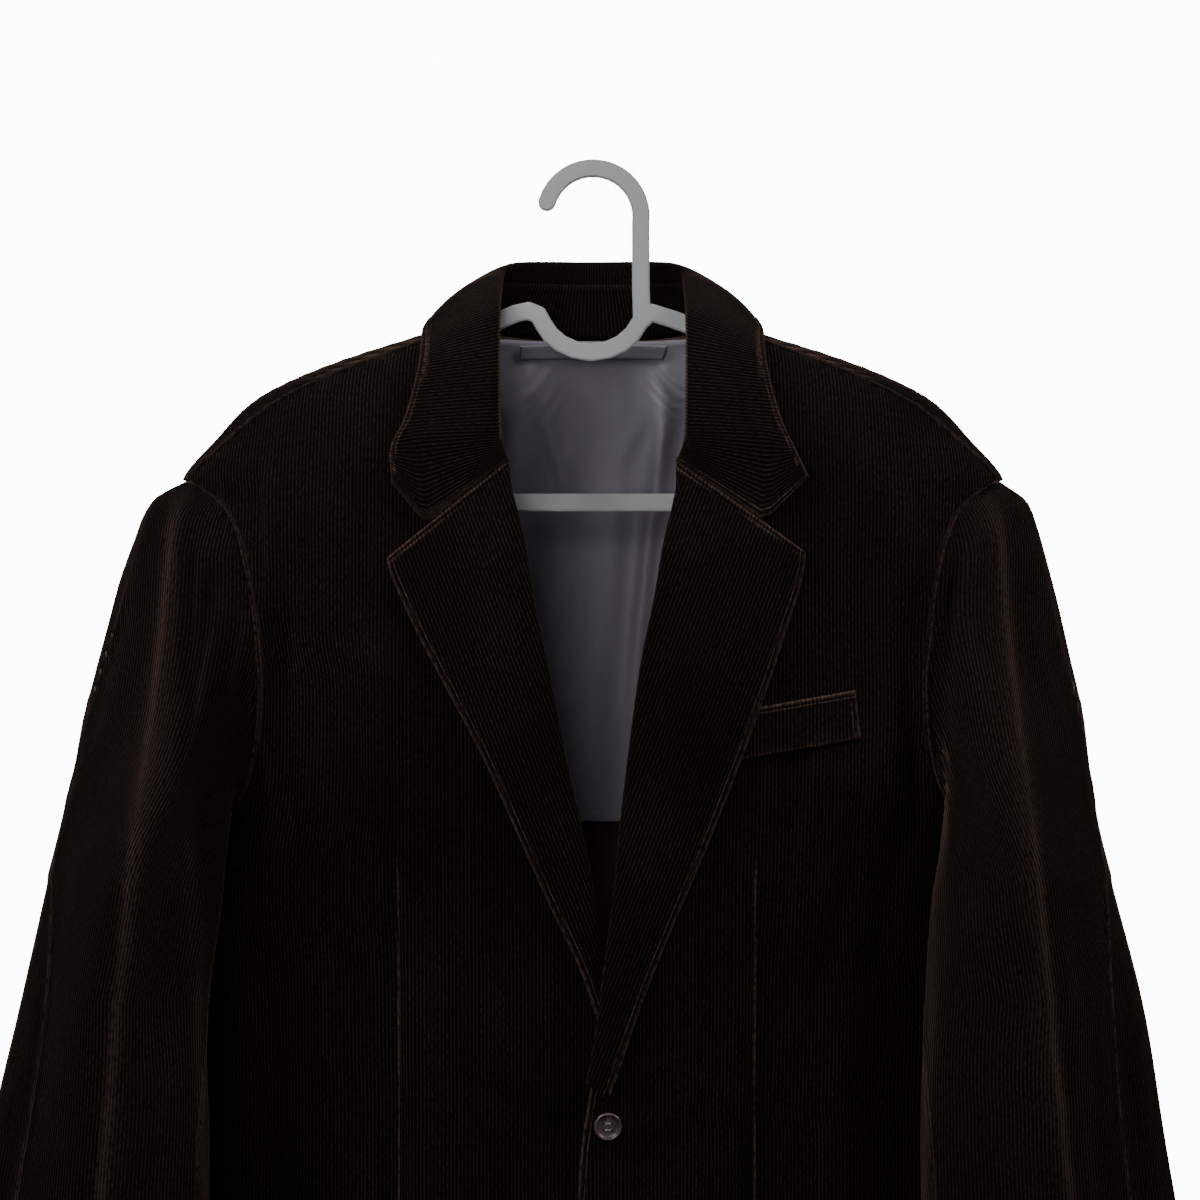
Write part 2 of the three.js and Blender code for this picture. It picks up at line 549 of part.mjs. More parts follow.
// The armhole edges of the two panels as one ring, from the shoulder down the front and up the back.
function armholeRing(side) {
  const { front, back } = panels[side];
  const first = SIDE_ROWS.length;
  const rows = range(ARMHOLE_ROWS.length).map((k) => first + k);
  const edge = (panel, j) => {
    const last = panel.outer[j].length - 1;
    return { outer: panel.outer[j][last].clone(), inner: panel.inner[j][last].clone() };
  };
  const top = first + ARMHOLE_ROWS.length;
  const down = [top, ...[...rows].reverse()].map((j) => edge(front, j));
  const up = rows.slice(1).map((j) => edge(back, j));
  return [...down, ...up];
}
function sleeve(side) {
  const mirror = side === "left" ? 1 : -1;
  const ring = armholeRing(side);
  for (const r of ring) {
    r.outer.x *= mirror;
    r.inner.x *= mirror;
  }
  const count = ring.length;
  const middle = V(236, -2, -285);
  const lengths = ring.map((r, i) => r.outer.distanceTo(ring[(i + 1) % count].outer));
  const bottom = ARMHOLE_ROWS.length;
  const frontLength = lengths.slice(0, bottom).reduce((a, b) => a + b, 0);
  const backLength = lengths.slice(bottom).reduce((a, b) => a + b, 0);
  let gone = 0;
  const places = ring.map((_, i) => {
    const at = i <= bottom ? (0.5 * gone) / frontLength : 0.5 + (0.5 * gone) / backLength;
    gone = i + 1 === bottom ? 0 : gone + lengths[i];
    return i === bottom ? 0.5 : at;
  });
  const away = ring.map((r, i) => {
    const along = ring[(i + 1) % count].outer.clone().sub(ring[(i + count - 1) % count].outer);
    const d = r.outer.clone().sub(r.inner).cross(along).normalize();
    return d.dot(middle.clone().sub(r.outer)) > 0 ? d : d.negate();
  });
  const [edge, innerEdge] = [ring.map((r) => r.outer), ring.map((r) => r.inner)];
  const leaving = (at) => sample(away, places, at).normalize();
  // The sleeve head: it leaves the seam squarely and comes round to hang straight down.
  const head = (at, w) => {
    const start = sample(edge, places, at).addScaledVector(leaving(at), HEAD_GAP);
    const end = sleevePoint(side, at, UPPER_ARM_Z);
    const next = sleevePoint(side, at, UPPER_ARM_Z - 20);
    const reach = start.distanceTo(end);
    const [w2, w3] = [w * w, w * w * w];
    const p = start.multiplyScalar(2 * w3 - 3 * w2 + 1);
    p.addScaledVector(leaving(at), (w3 - 2 * w2 + w) * reach * 0.3);
    p.addScaledVector(end, 3 * w2 - 2 * w3);
    return p.addScaledVector(next.sub(end).normalize(), (w3 - w2) * reach * 0.6);
  };
  const outline = through(OUTLINE[side], "z", "x");
  const plain = through(steps(16).map((w) => ({ z: head(0, w).z, x: head(0, w).x })), "z", "x");
  const headPoint = (at, w) => {
    const p = head(at, w);
    if (w === 0 || w === 1) return p;
    const turned = ringAt(at, p.z);
    const turn = turned * 2 * Math.PI;
    p.x += (outline(p.z) - plain(p.z)) * smooth(-0.1, 0.9, Math.cos(turn)) * smooth(0, 0.1, w);
    p.y -= sleeveFold(side, turned, p.z) * Math.sin(turn) * smooth(0, 0.5, w) * (1 - smooth(0, 1, w));
    return clearOfBody(p, SLEEVE_CLEARANCE * smooth(0, 0.3, w));
  };
  const rowCount = ARM_TOP_ROWS.length + ARM_ROWS.length;
  const surface = (at, row) => {
    const j = Math.min(rowCount - 1, Math.max(0, row));
    return j < ARM_TOP_ROWS.length
      ? headPoint(at, ARM_TOP_ROWS[j])
      : sleevePoint(side, at, ARM_ROWS[j - ARM_TOP_ROWS.length]);
  };
  const NEAR = 0.012; // of a turn, for slopes
  const normalAt = (at, row) => {
    const round = surface(at + NEAR, row).sub(surface(at - NEAR, row));
    const down = surface(at, row + 1).sub(surface(at, row - 1));
    return round.cross(down).normalize();
  };
  const outward = normalAt(0, rowCount - 1).x > 0 ? 1 : -1;
  // Cuts the tube along the inseam and the elbow seam into the top and the under sleeve.
  const elbowAt = through(ELBOW_SEAM, "z", "at");
  const piece = (name, columnsOf) => {
    const [outer, inner] = [[], []];
    for (const j of range(rowCount)) {
      const picks = columnsOf(elbowAt(surface(ELBOW_MIDDLE, j).z));
      const last = picks.length - 1;
      const shifted = picks.map((at, k) => {
        if (k > 0 && k < last) return at;
        const stretch = surface(at + NEAR, j).distanceTo(surface(at - NEAR, j)) / (2 * NEAR);
        return at + ((k === 0 ? 1 : -1) * Math.sign(picks[1] - picks[0]) * SEAM_GAP) / 2 / stretch;
      });
      outer.push(shifted.map((at) => surface(at, j)));
      inner.push(
        shifted.map((at) =>
          j === 0
            ? sample(innerEdge, places, at).addScaledVector(leaving(at), HEAD_GAP)
            : surface(at, j).addScaledVector(normalAt(at, j), -CLOTH * outward),
        ),
      );
    }
    for (const p of [...outer.flat(), ...inner.flat()]) p.x *= mirror;
    add(name, wall(outer, inner), CORDUROY);
  };
  piece(`top_sleeve_${side}`, (elbow) => steps(19).map((u) => mix(elbow - 1, INSEAM_AT, u)));
  piece(`under_sleeve_${side}`, (elbow) => steps(10).map((u) => mix(INSEAM_AT, elbow, u)));
}
// The point of a closed ring at a share of a turn, which may pass 0 or 1.
function sample(row, places, at) {
  const a = ((at % 1) + 1) % 1;
  let i = places.length - 1;
  while (i > 0 && places[i] > a + 1e-9) i--;
  const next = (i + 1) % places.length;
  const span = (next === 0 ? 1 : places[next]) - places[i];
  return row[i].clone().lerp(row[next], clamp01((a - places[i]) / span));
}
for (const side of ["left", "right"]) sleeve(side);

// Lapels
// A row across each lapel runs from the roll line at that level to a point of its outer edge.
const LAPEL = {
  left: [
    { rollZ: NECK_SEAM_Z, edgeX: 118, edgeZ: -215 },
    { rollZ: -178, edgeX: 117.5, edgeZ: -222 },
    { rollZ: -196, edgeX: 114.5, edgeZ: -236 },
    { rollZ: -228, edgeX: 105.5, edgeZ: -263 },
    { rollZ: -268, edgeX: 93.5, edgeZ: -299 },
    { rollZ: -314, edgeX: 77, edgeZ: -343 },
    { rollZ: -358, edgeX: 60.5, edgeZ: -384 },
    { rollZ: -402, edgeX: 44, edgeZ: -422 },
    { rollZ: -442, edgeX: 29, edgeZ: -459 },
    { rollZ: -480, edgeX: 17.5, edgeZ: -492 },
    { rollZ: -510, edgeX: 8.5, edgeZ: -518 },
  ],
  right: [
    { rollZ: NECK_SEAM_Z, edgeX: 114, edgeZ: -218 },
    { rollZ: -176, edgeX: 112.5, edgeZ: -226 },
    { rollZ: -192, edgeX: 106.5, edgeZ: -240 },
    { rollZ: -220, edgeX: 95, edgeZ: -264 },
    { rollZ: -256, edgeX: 79, edgeZ: -294 },
    { rollZ: -298, edgeX: 60, edgeZ: -330 },
    { rollZ: -342, edgeX: 41.5, edgeZ: -371 },
    { rollZ: -386, edgeX: 24, edgeZ: -410 },
    { rollZ: -430, edgeX: 6.5, edgeZ: -447 },
    { rollZ: -470, edgeX: -5, edgeZ: -482 },
    { rollZ: -505, edgeX: -12, edgeZ: -512 },
  ],
};
const ROLL_GAP = 0.5; // between a flap and what it folds over
const FLAP_RISE = 2.8; // added to that gap away from the fold
const FLAP_RISE_WIDTH = 30;
const BELLY = 3; // the soft swell of a flap between its fold and its edge
const flapLift = (fromFold, share) =>
  ROLL_GAP + CLOTH + FLAP_RISE * smooth(0, FLAP_RISE_WIDTH, fromFold)
  + BELLY * Math.sin(share * Math.PI) ** 2;

function lapel(side) {
  const mirror = side === "left" ? 1 : -1;
  const outer = LAPEL[side].map((row) => {
    const roll = { x: frontEdge[side](row.rollZ), z: row.rollZ };
    const width = Math.hypot(row.edgeX - roll.x, row.edgeZ - roll.z);
    const belly = smooth(8, 60, width);
    return steps(7).map((t) => {
      const [x, z] = [mix(roll.x, row.edgeX, t), mix(roll.z, row.edgeZ, t)];
      const under = side === "left" ? overlapLift(x, z) : 0;
      const swell = flapLift(t * width, t) - (1 - belly) * BELLY * Math.sin(t * Math.PI) ** 2;
      return V(x * mirror, frontY(x * mirror, z, under + swell), z);
    });
  });
  const normals = gridNormals(outer);
  const sign = normals[3][3].y > 0 ? 1 : -1;
  add(`lapel_${side}`, wall(outer, offsetGrid(outer, normals, CLOTH * sign)), CORDUROY);
}
lapel("left");
lapel("right");

// Collar
// A row for each angle round the neck: the crest of the collar's fold and the edge that lies on the body.
// The edge is given by the body's angle and level. x is mirrored for the wearer's right.
const COLLAR = [
  { phi: 12.5, x: 49.5, y: -66, z: -165.2, at: 29.5, edgeZ: -173.5 },
  { phi: 16, x: 51, y: -61.5, z: -140, at: 29, edgeZ: -145.5 },
  { phi: 22, x: 51.5, y: -53.6, z: -113, at: 32, edgeZ: -120 },
  { phi: 36, x: 51.5, y: -33.4, z: -81, at: 45, edgeZ: -102 },
  { phi: 60, x: 51, y: -8, z: -64, at: 70, edgeZ: -92.5 },
  { phi: 90, x: 50.5, y: 12, z: -54, at: 92, edgeZ: -89.5 },
  { phi: 120, x: 46.5, y: 30, z: -47, at: 121, edgeZ: -90.5 },
  { phi: 145, x: 34, y: 41, z: -44.5, at: 147, edgeZ: -93 },
  { phi: 162, x: 18, y: 46, z: -44, at: 164, edgeZ: -95 },
  { phi: 180, x: 0, y: 47.5, z: -44, at: 180, edgeZ: -96 },
];
const COLLAR_ANGLES = [12.5, 14.2, 16.4, 20, 26, 36, 50, 70, 90, 112, 135, 158];
const STAND_GAP = 1.2; // between the neck edge and the collar stand
const SEAM_SHARE = 0.4; // how far down from the fold the seam with the stand lies
const NOTCH_SHARE = 0.66; // how far along the gorge row the notch lies
const TIP = { left: { x: 120.5, z: -173 }, right: { x: 112, z: -176.5 } };
const crest = Object.fromEntries(["x", "y", "z", "at", "edgeZ"].map((k) => [k, through(COLLAR, "phi", k)]));
// Inside of the neck seam, where the collar stand starts.
function standFoot(phi) {
  const z = neckZ(phi);
  const p = bodyPoint(phi, z);
  return p.addScaledVector(bodyNormal(phi, z), -CLOTH);
}
function collarRow(phi, side) {
  const fold = V(crest.x(phi), crest.y(phi), crest.z(phi));
  const lift = flapLift(FLAP_RISE_WIDTH, 0) + 0.4;
  const at = crest.at(phi);
  const edge = bodyPoint(at, crest.edgeZ(phi)).addScaledVector(bodyNormal(at, crest.edgeZ(phi)), lift);
  const across = edge.clone().sub(fold);
  const swell = V(0, -1, 0).lerp(V(0.5, 0.6, 0.6), smooth(20, 120, phi)).normalize();
  const rise = mix(9.5, 9, smooth(20, 140, phi));
  const foot = standFoot(phi);
  foot.addScaledVector(fold.clone().sub(foot).normalize(), mix(2.2, STAND_GAP, smooth(22, 60, phi)));
  const seam = fold.clone().lerp(foot, mix(0.68, SEAM_SHARE, smooth(40, 115, phi)));
  const inner = [seam, fold.clone().lerp(seam, 0.45).add(V(0, -0.6, 0.5))];
  const outer = [0, 0.1, 0.3, 0.55, 0.78, 1].map((t) => {
    const p = fold.clone().addScaledVector(across, t);
    p.addScaledVector(swell, rise * 2.2 * t ** 0.6 * (1 - t));
    const z = Math.min(p.z, -76);
    return z < -84 || phi < 40 ? clearOfBody(p, lift * smooth(0, 0.3, t) + 0.2) : p;
  });
  return { foot, seam, points: [...inner, ...outer] };
}
// The row at the gorge runs beside the lapel's top edge as far as the notch, then up to the collar's tip.
function gorgeRow(side) {
  const top = LAPEL[side][0];
  const start = { x: frontEdge[side](top.rollZ), z: top.rollZ };
  const across = { x: top.edgeX - start.x, z: top.edgeZ - start.z };
  const width = Math.hypot(across.x, across.z);
  const off = { x: (-across.z / width) * SEAM_GAP, z: (across.x / width) * SEAM_GAP };
  const tip = TIP[side];
  const outer = [0, 0.14, 0.32, 0.55, 0.78, 1].map((t) => {
    const along = Math.min(t / 0.78, 1) * NOTCH_SHARE;
    const past = clamp01((t - 0.78) / 0.22);
    const x = mix(start.x + across.x * along + off.x, tip.x, past);
    const z = mix(start.z + across.z * along + off.z, tip.z, past);
    const swell = flapLift(along * width, along);
    return V(x, frontY(side === "left" ? x : -x, z, mix(swell, flapLift(40, 0), past)), z);
  });
  const fold = outer[0];
  return { points: [fold.clone().add(V(-4, 4.4, 0.8)), fold.clone().add(V(-2.9, 1.7, 0.5)), ...outer] };
}
function mirrored(row) {
  return row.map((p) => V(-p.x, p.y, p.z));
}
const halfRows = (side) => [gorgeRow(side), ...COLLAR_ANGLES.slice(1).map((phi) => collarRow(phi, side))];
const leftRows = halfRows("left");
const rightRows = halfRows("right");
const middleRow = collarRow(180, "left");
const fallRows = [
  ...leftRows.map((r) => r.points),
  middleRow.points,
  ...[...rightRows].reverse().map((r) => mirrored(r.points)),
];
const fallNormals = gridNormals(fallRows);
const fallSign = fallNormals[12][6].y > 0 ? -1 : 1;
add("collar_fall", wall(fallRows, offsetGrid(fallRows, fallNormals, CLOTH * fallSign)), CORDUROY);

function standRow({ foot, seam }) {
  const up = seam.clone().sub(foot);
  const length = up.length();
  return [0, 0.5, (length - SEAM_GAP) / length].map((t) => foot.clone().addScaledVector(up, t));
}
const STAND_FROM = 3; // the collar stand starts at this row, past the gorge
const standHalf = (rows) => rows.slice(STAND_FROM).map(standRow);
const standRows = [
  ...standHalf(leftRows),
  standRow(middleRow),
  ...standHalf(rightRows).reverse().map(mirrored),
];
const standNormals = gridNormals(standRows);
const standSign = standNormals[Math.floor(standRows.length / 2)][1].y > 0 ? 1 : -1;
add("collar_stand", wall(standRows, offsetGrid(standRows, standNormals, CLOTH * standSign)), CORDUROY);

// Back lining, a curtain from the neck seam to its hem
const LINING_GAP = 2.3;
const LINING_ROWS = [LINING_HEM_Z, -352, -325, -295, -262, -230, -200, -172, -148, -128, -112, -101, -93.5];
const LINING_FOLDS = [
  { topX: 47, topZ: -99, endX: 20, endZ: -330, depth: 4.5, width: 7 },
  { topX: 43, topZ: -99, endX: 37, endZ: -180, depth: 3, width: 5 },
  { topX: -40, topZ: -100, endX: -12, endZ: -190, depth: 3.5, width: 7 },
  { topX: -46, topZ: -100, endX: -62, endZ: -330, depth: 4, width: 12 },
  { topX: 6, topZ: -170, endX: -3, endZ: -372, depth: 3, width: 12 },
  { topX: 96, topZ: -130, endX: 110, endZ: -372, depth: 4, width: 14 },
  { topX: -104, topZ: -140, endX: -120, endZ: -372, depth: 4, width: 14 },
];
const liningFold = (x, z) =>
  LINING_FOLDS.reduce((sum, f) => {
    const along = clamp01((f.topZ - z) / (f.topZ - f.endZ));
    const off = (x - mix(f.topX, f.endX, along)) / f.width;
    const fade = smooth(0, 0.15, along) * (f.endZ > LINING_HEM_Z ? smooth(1, 0.6, along) : 1);
    return sum + f.depth * fade * Math.exp(-off * off);
  }, 0);
const liningEnd = (z) => (z < -190 ? angleAt(armholeBack(z) - 14, z) : mix(60, 38, smooth(-150, -104, z)));
const lining = LINING_ROWS.map((z) =>
  steps(16).map((u) => {
    const phi = 180 - mix(-1, 1, u) * liningEnd(z);
    const at = bodyPoint(phi, z);
    const top = z > -100 ? neckZ(phi > 180 ? 360 - phi : phi) + 90 : 0;
    const sag = liningFold(at.x, z);
    return at.addScaledVector(bodyNormal(phi, z), -(CLOTH + LINING_GAP + LINING + sag)).add(V(0, 0, top));
  }),
);
const liningNormals = gridNormals(lining);
const liningSign = liningNormals[6][8].y > 0 ? 1 : -1;
add("back_lining", wall(lining, offsetGrid(lining, liningNormals, LINING * liningSign)), LINING_CLOTH);

// Neck patch
const PATCH = { left: -43.5, right: 44.5, top: -93, bottom: -101.5, wall: 0.8, proud: 0.8 };
const patch = [PATCH.bottom, (PATCH.bottom + PATCH.top) / 2, PATCH.top].map((z, j) =>
  steps(8).map((u) => {
    const x = mix(PATCH.left, PATCH.right - (2 - j) * 1.6, u);
    const phi = 180 - angleAt(x, z);
    const inside = CLOTH + LINING_GAP + LINING + PATCH.proud + liningFold(x, z) + PATCH.wall;
    return bodyPoint(phi, z).addScaledVector(bodyNormal(phi, z), -inside);
  }),
);
const patchNormals = gridNormals(patch);
const patchSign = patchNormals[1][4].y > 0 ? 1 : -1;
add("neck_patch", wall(patch, offsetGrid(patch, patchNormals, PATCH.wall * patchSign)), LINING_CLOTH);

// Breast welt on the left front
const WELT = {
  left: 66, right: 149, topLeft: -305.5, topRight: -291.5, height: 27, lean: 3, wall: 2.2, gap: 0.6,
};
const welt = steps(2).map((v) =>
  steps(9).map((u) => {
    const x = mix(WELT.left, WELT.right, u) - v * WELT.lean;
    const z = mix(WELT.topLeft, WELT.topRight, u) - WELT.height * (1 - v);
    return V(x, seatY("left", x, z) - WELT.gap - WELT.wall, z);
  }),
);
const weltNormals = gridNormals(welt);
const weltSign = weltNormals[1][3].y > 0 ? 1 : -1;
add("breast_welt", wall(welt, offsetGrid(welt, weltNormals, WELT.wall * weltSign)), CORDUROY);

// Booleans
function solid(geometry) {
  const g = geometry.clone();
  for (const k of Object.keys(g.attributes)) if (k !== "position") g.deleteAttribute(k);
  const m = mergeVertices(g, 1e-4);
  return new wasm.Manifold(
    new wasm.Mesh({
      numProp: 3,
      vertProperties: new Float32Array(m.attributes.position.array),
      triVerts: new Uint32Array(m.index.array),
    }),
  );
}
function geometryOf(manifold) {
  const m = manifold.getMesh();
  const g = new THREE.BufferGeometry();
  g.setAttribute("position", new THREE.Float32BufferAttribute(m.vertProperties, 3));
  g.setIndex([...m.triVerts]);
  return g;
}

// Button, sewn to the left front over the overlap
const BUTTON_SIZE = { x: 10, z: -532, radius: 7.75, thick: 3, rim: 1.7, hole: 0.95, holeSpread: 1.75 };
function button() {
  const { radius, thick, rim } = BUTTON_SIZE;
  const profile = [
    [0, 0],
    [radius - 1.2, 0],
    [radius, 1],
    [radius, thick - 1],
    [radius - 0.6, thick],
    [radius - rim, thick],
    [radius - rim - 0.9, thick - 0.9],
    [0, thick - 0.9],
  ].map(([x, y]) => new THREE.Vector2(x, y));
  let body = solid(new THREE.LatheGeometry(profile, 20));
  for (const [i, j] of [[1, 1], [1, -1], [-1, 1], [-1, -1]]) {
    const hole = new THREE.CylinderGeometry(BUTTON_SIZE.hole, BUTTON_SIZE.hole, 8, 8);
    hole.translate(i * BUTTON_SIZE.holeSpread, thick / 2, j * BUTTON_SIZE.holeSpread);
    body = body.subtract(solid(hole));
  }
  const g = geometryOf(body);
  const seat = Math.min(
    ...steps(12).map((u) => {
      const a = u * 2 * Math.PI;
      const [x, z] = [BUTTON_SIZE.x + radius * Math.cos(a), BUTTON_SIZE.z + radius * Math.sin(a)];
      return seatY("left", x, z);
    }),
  );
  g.scale(1, -1, 1);
  g.index.array.reverse();
  g.translate(BUTTON_SIZE.x, seat - SEAM_GAP, BUTTON_SIZE.z);
  return g;
}
add("button", button(), BUTTON);

// Hanger, cut from flat plastic
const STRIP = 10;
const HANGER_DEPTH = 6;
const BEVEL = 0.8;
const HOOK = { radius: 22.5, from: 163, to: -8 };
const BAR_Z = -186;
const ARM_LEVELS = [-101.5, -110, -120, -131, -141];
// The flat outline of a strip along a line of points, with round ends and corners.
function strip(centre, closed) {
  const half = STRIP / 2;
  const round = ({ x, y }) =>
    wasm.CrossSection.ofPolygons([
      range(16).map((k) => [x + half * Math.cos((k * Math.PI) / 8), y + half * Math.sin((k * Math.PI) / 8)]),
    ]);
  const bars = centre.map((p, k) => {
    if (!closed && k === centre.length - 1) return round(p);
    const q = centre[(k + 1) % centre.length];
    const along = q.clone().sub(p).normalize();
    const [nx, ny] = [-along.y * half, along.x * half];
    const sides = [[p.x - nx, p.y - ny], [q.x - nx, q.y - ny], [q.x + nx, q.y + ny], [p.x + nx, p.y + ny]];
    return wasm.CrossSection.ofPolygons([sides]);
  });
  return wasm.CrossSection.union([...bars, ...centre.map(round)]);
}
function hanger() {
  const v2 = (x, z) => new THREE.Vector2(x, z);
  // An arm lies just under the shoulder cloth.
  const under = CLOTH + 2 + STRIP / 2;
  const arm = ARM_LEVELS.map((z) => {
    const slope = v2(bodyHalf(z + 1) - bodyHalf(z - 1), 2).normalize();
    return v2(bodyHalf(z) - slope.y * under, z + slope.x * under);
  });
  const end = [v2(201.5, -153), v2(202, -166), v2(196, -178), v2(183, -185), v2(165, BAR_Z)];
  const bar = [110, 55, 0, -55, -110].map((x) => v2(x, BAR_Z));
  const flip = (points) => [...points].reverse().map((p) => v2(-p.x, p.y));
  const dip = [
    v2(-80, -94), v2(-53, -82), v2(-44, -78), v2(-37, -76.5), v2(-31, -79), v2(-28.5, -84),
    v2(-24.5, -90), v2(-18, -95.5), v2(-10, -99), v2(-1, -100.4), v2(8, -99), v2(16, -95.5),
    v2(22.5, -90), v2(26.8, -83), v2(33, -77.5), v2(46, -81.5), v2(80, -94),
  ];
  const loop = [...arm, ...end, ...bar, ...flip(end), ...flip(arm), ...dip];
  const centreRadius = HOOK.radius + STRIP / 2;
  const hook = [
    ...steps(18).map((u) => {
      const a = THREE.MathUtils.degToRad(mix(HOOK.from, HOOK.to, u));
      return v2(centreRadius * Math.cos(a), -HOOK.radius + centreRadius * Math.sin(a));
    }),
    v2(27.3, -40),
    v2(27.3, -62),
    v2(27.8, -80),
  ];
  const flat = wasm.CrossSection.union([strip(loop, true), strip(hook, false)]).simplify(0.2);
  const chamfered = flat.offset(-BEVEL, "Round").extrude(HANGER_DEPTH, 0, 0, [1, 1], true);
  const body = flat.extrude(HANGER_DEPTH - 2 * BEVEL, 0, 0, [1, 1], true).add(chamfered);
  const g = geometryOf(body);
  g.rotateX(Math.PI / 2);
  return g;
}
add("hanger", hanger(), PLASTIC);

export default jacket;
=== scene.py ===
# A corduroy jacket hanging on a flat plastic hanger.
# Sizes are in millimetres until a mesh is made. The front faces -Y and the wearer's left side is +X.
import math

import bpy
import numpy as np
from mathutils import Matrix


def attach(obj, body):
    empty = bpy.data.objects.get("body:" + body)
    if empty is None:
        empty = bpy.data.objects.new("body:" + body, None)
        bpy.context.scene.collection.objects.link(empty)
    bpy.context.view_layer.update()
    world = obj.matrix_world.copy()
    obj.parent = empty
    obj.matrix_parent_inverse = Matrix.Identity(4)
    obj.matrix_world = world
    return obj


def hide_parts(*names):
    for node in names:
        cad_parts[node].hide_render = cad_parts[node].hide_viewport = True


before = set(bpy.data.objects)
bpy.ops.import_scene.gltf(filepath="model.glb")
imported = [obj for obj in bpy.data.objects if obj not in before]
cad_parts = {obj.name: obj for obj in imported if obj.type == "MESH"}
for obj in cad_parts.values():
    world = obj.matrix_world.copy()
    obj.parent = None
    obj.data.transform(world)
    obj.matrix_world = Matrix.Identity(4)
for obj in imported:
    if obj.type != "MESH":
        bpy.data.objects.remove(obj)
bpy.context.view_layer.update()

# Driving dimensions
MM = 0.001
CLOTH = 2.2  # wall of the corduroy under its wales
SEAM_GAP = 0.04
WALE = 2.1  # from one wale of the corduroy to the next
WALE_RELIEF = 0.5
WALE_COLUMNS = 4  # columns of the mesh for each wale
SHOULDER_Z = -174.5
ARMPIT_Z = -380
HEM_Z = -832
CUFF_Z = -795
UPPER_ARM_Z = -402
SIDE_ROUNDNESS = 0.9
BREAK_Z = -546
SLEEVE_CLEARANCE = 4
FRONT_OVERLAP_LIFT = 8.2
HEM_OVERLAP_LIFT = 4.6
NECK_SEAM_Z = -166
FRONT_TOP_Z = -87.6
BACK_TOP_Z = -86.2
MIRROR = {"left": 1, "right": -1}


def mix(a, b, t):
    return a + (b - a) * t


def smooth(a, b, x):
    t = np.clip((np.asarray(x, float) - a) / (b - a), 0, 1)
    return t * t * (3 - 2 * t)


def table(columns, rows):
    """The rows of a table as one array for each named column."""
    return dict(zip(columns.split(), np.array(rows, float).T))


def through(rows, key, value):
    """A smooth curve through a table's rows, from column key to column value."""
    order = np.argsort(rows[key])
    xs = rows[key][order]
    ys = rows[value][order]
    last = len(xs) - 1
    before = np.maximum(np.arange(last + 1) - 1, 0)
    after = np.minimum(np.arange(last + 1) + 1, last)
    slopes = (ys[after] - ys[before]) / (xs[after] - xs[before])

    def curve(at):
        x = np.clip(np.asarray(at, float), xs[0], xs[-1])
        i = np.clip(np.searchsorted(xs, x) - 1, 0, last - 1)
        h = xs[i + 1] - xs[i]
        t = (x - xs[i]) / h
        start = (2 * t**3 - 3 * t**2 + 1) * ys[i] + (t**3 - 2 * t**2 + t) * h * slopes[i]
        end = (3 * t**2 - 2 * t**3) * ys[i + 1] + (t**3 - t**2) * h * slopes[i + 1]
        return start + end

    return curve


def unit(v):
    return v / np.maximum(np.linalg.norm(v, axis=-1, keepdims=True), 1e-9)


def xyz(x, y, z):
    return np.stack(np.broadcast_arrays(x, y, z), -1).astype(float)


# Camera, at the photograph's view
CAMERA = {"x": 4, "y": -2200, "z": -241.7, "lens": 115.5, "sensor": 36}
camera_data = bpy.data.cameras.new("camera")
camera_data.lens = CAMERA["lens"]
camera_data.sensor_width = CAMERA["sensor"]
camera = bpy.data.objects.new("camera", camera_data)
camera.location = (CAMERA["x"] * MM, CAMERA["y"] * MM, CAMERA["z"] * MM)
camera.rotation_euler = (math.pi / 2, 0, 0)
bpy.context.scene.collection.objects.link(camera)
bpy.context.scene.camera = camera

# The body: half width and how far it stands out in front and behind, at each level
BODY = table("z half front back", [
    (-76, 58, 38, 38),
    (-82, 75, 40, 40),
    (-90.6, 99, 43, 43),
    (-101.5, 134, 47, 46),
    (-113.5, 166, 51, 49),
    (-127.7, 193, 55, 53),
    (-149, 214, 61, 58),
    (SHOULDER_Z, 235, 66, 62),
    (-225, 244, 74, 66),
    (-300, 249, 79, 67),
    (ARMPIT_Z, 250, 77, 63),
    (-440, 246, 73, 58),
    (-510, 238, 69, 54),
    (-580, 241, 67, 55),
    (-660, 249, 67, 58),
    (-750, 257, 67, 60),
    (HEM_Z, 263, 67, 61),
])
body_half = through(BODY, "z", "half")
body_front = through(BODY, "z", "front")
body_back = through(BODY, "z", "back")

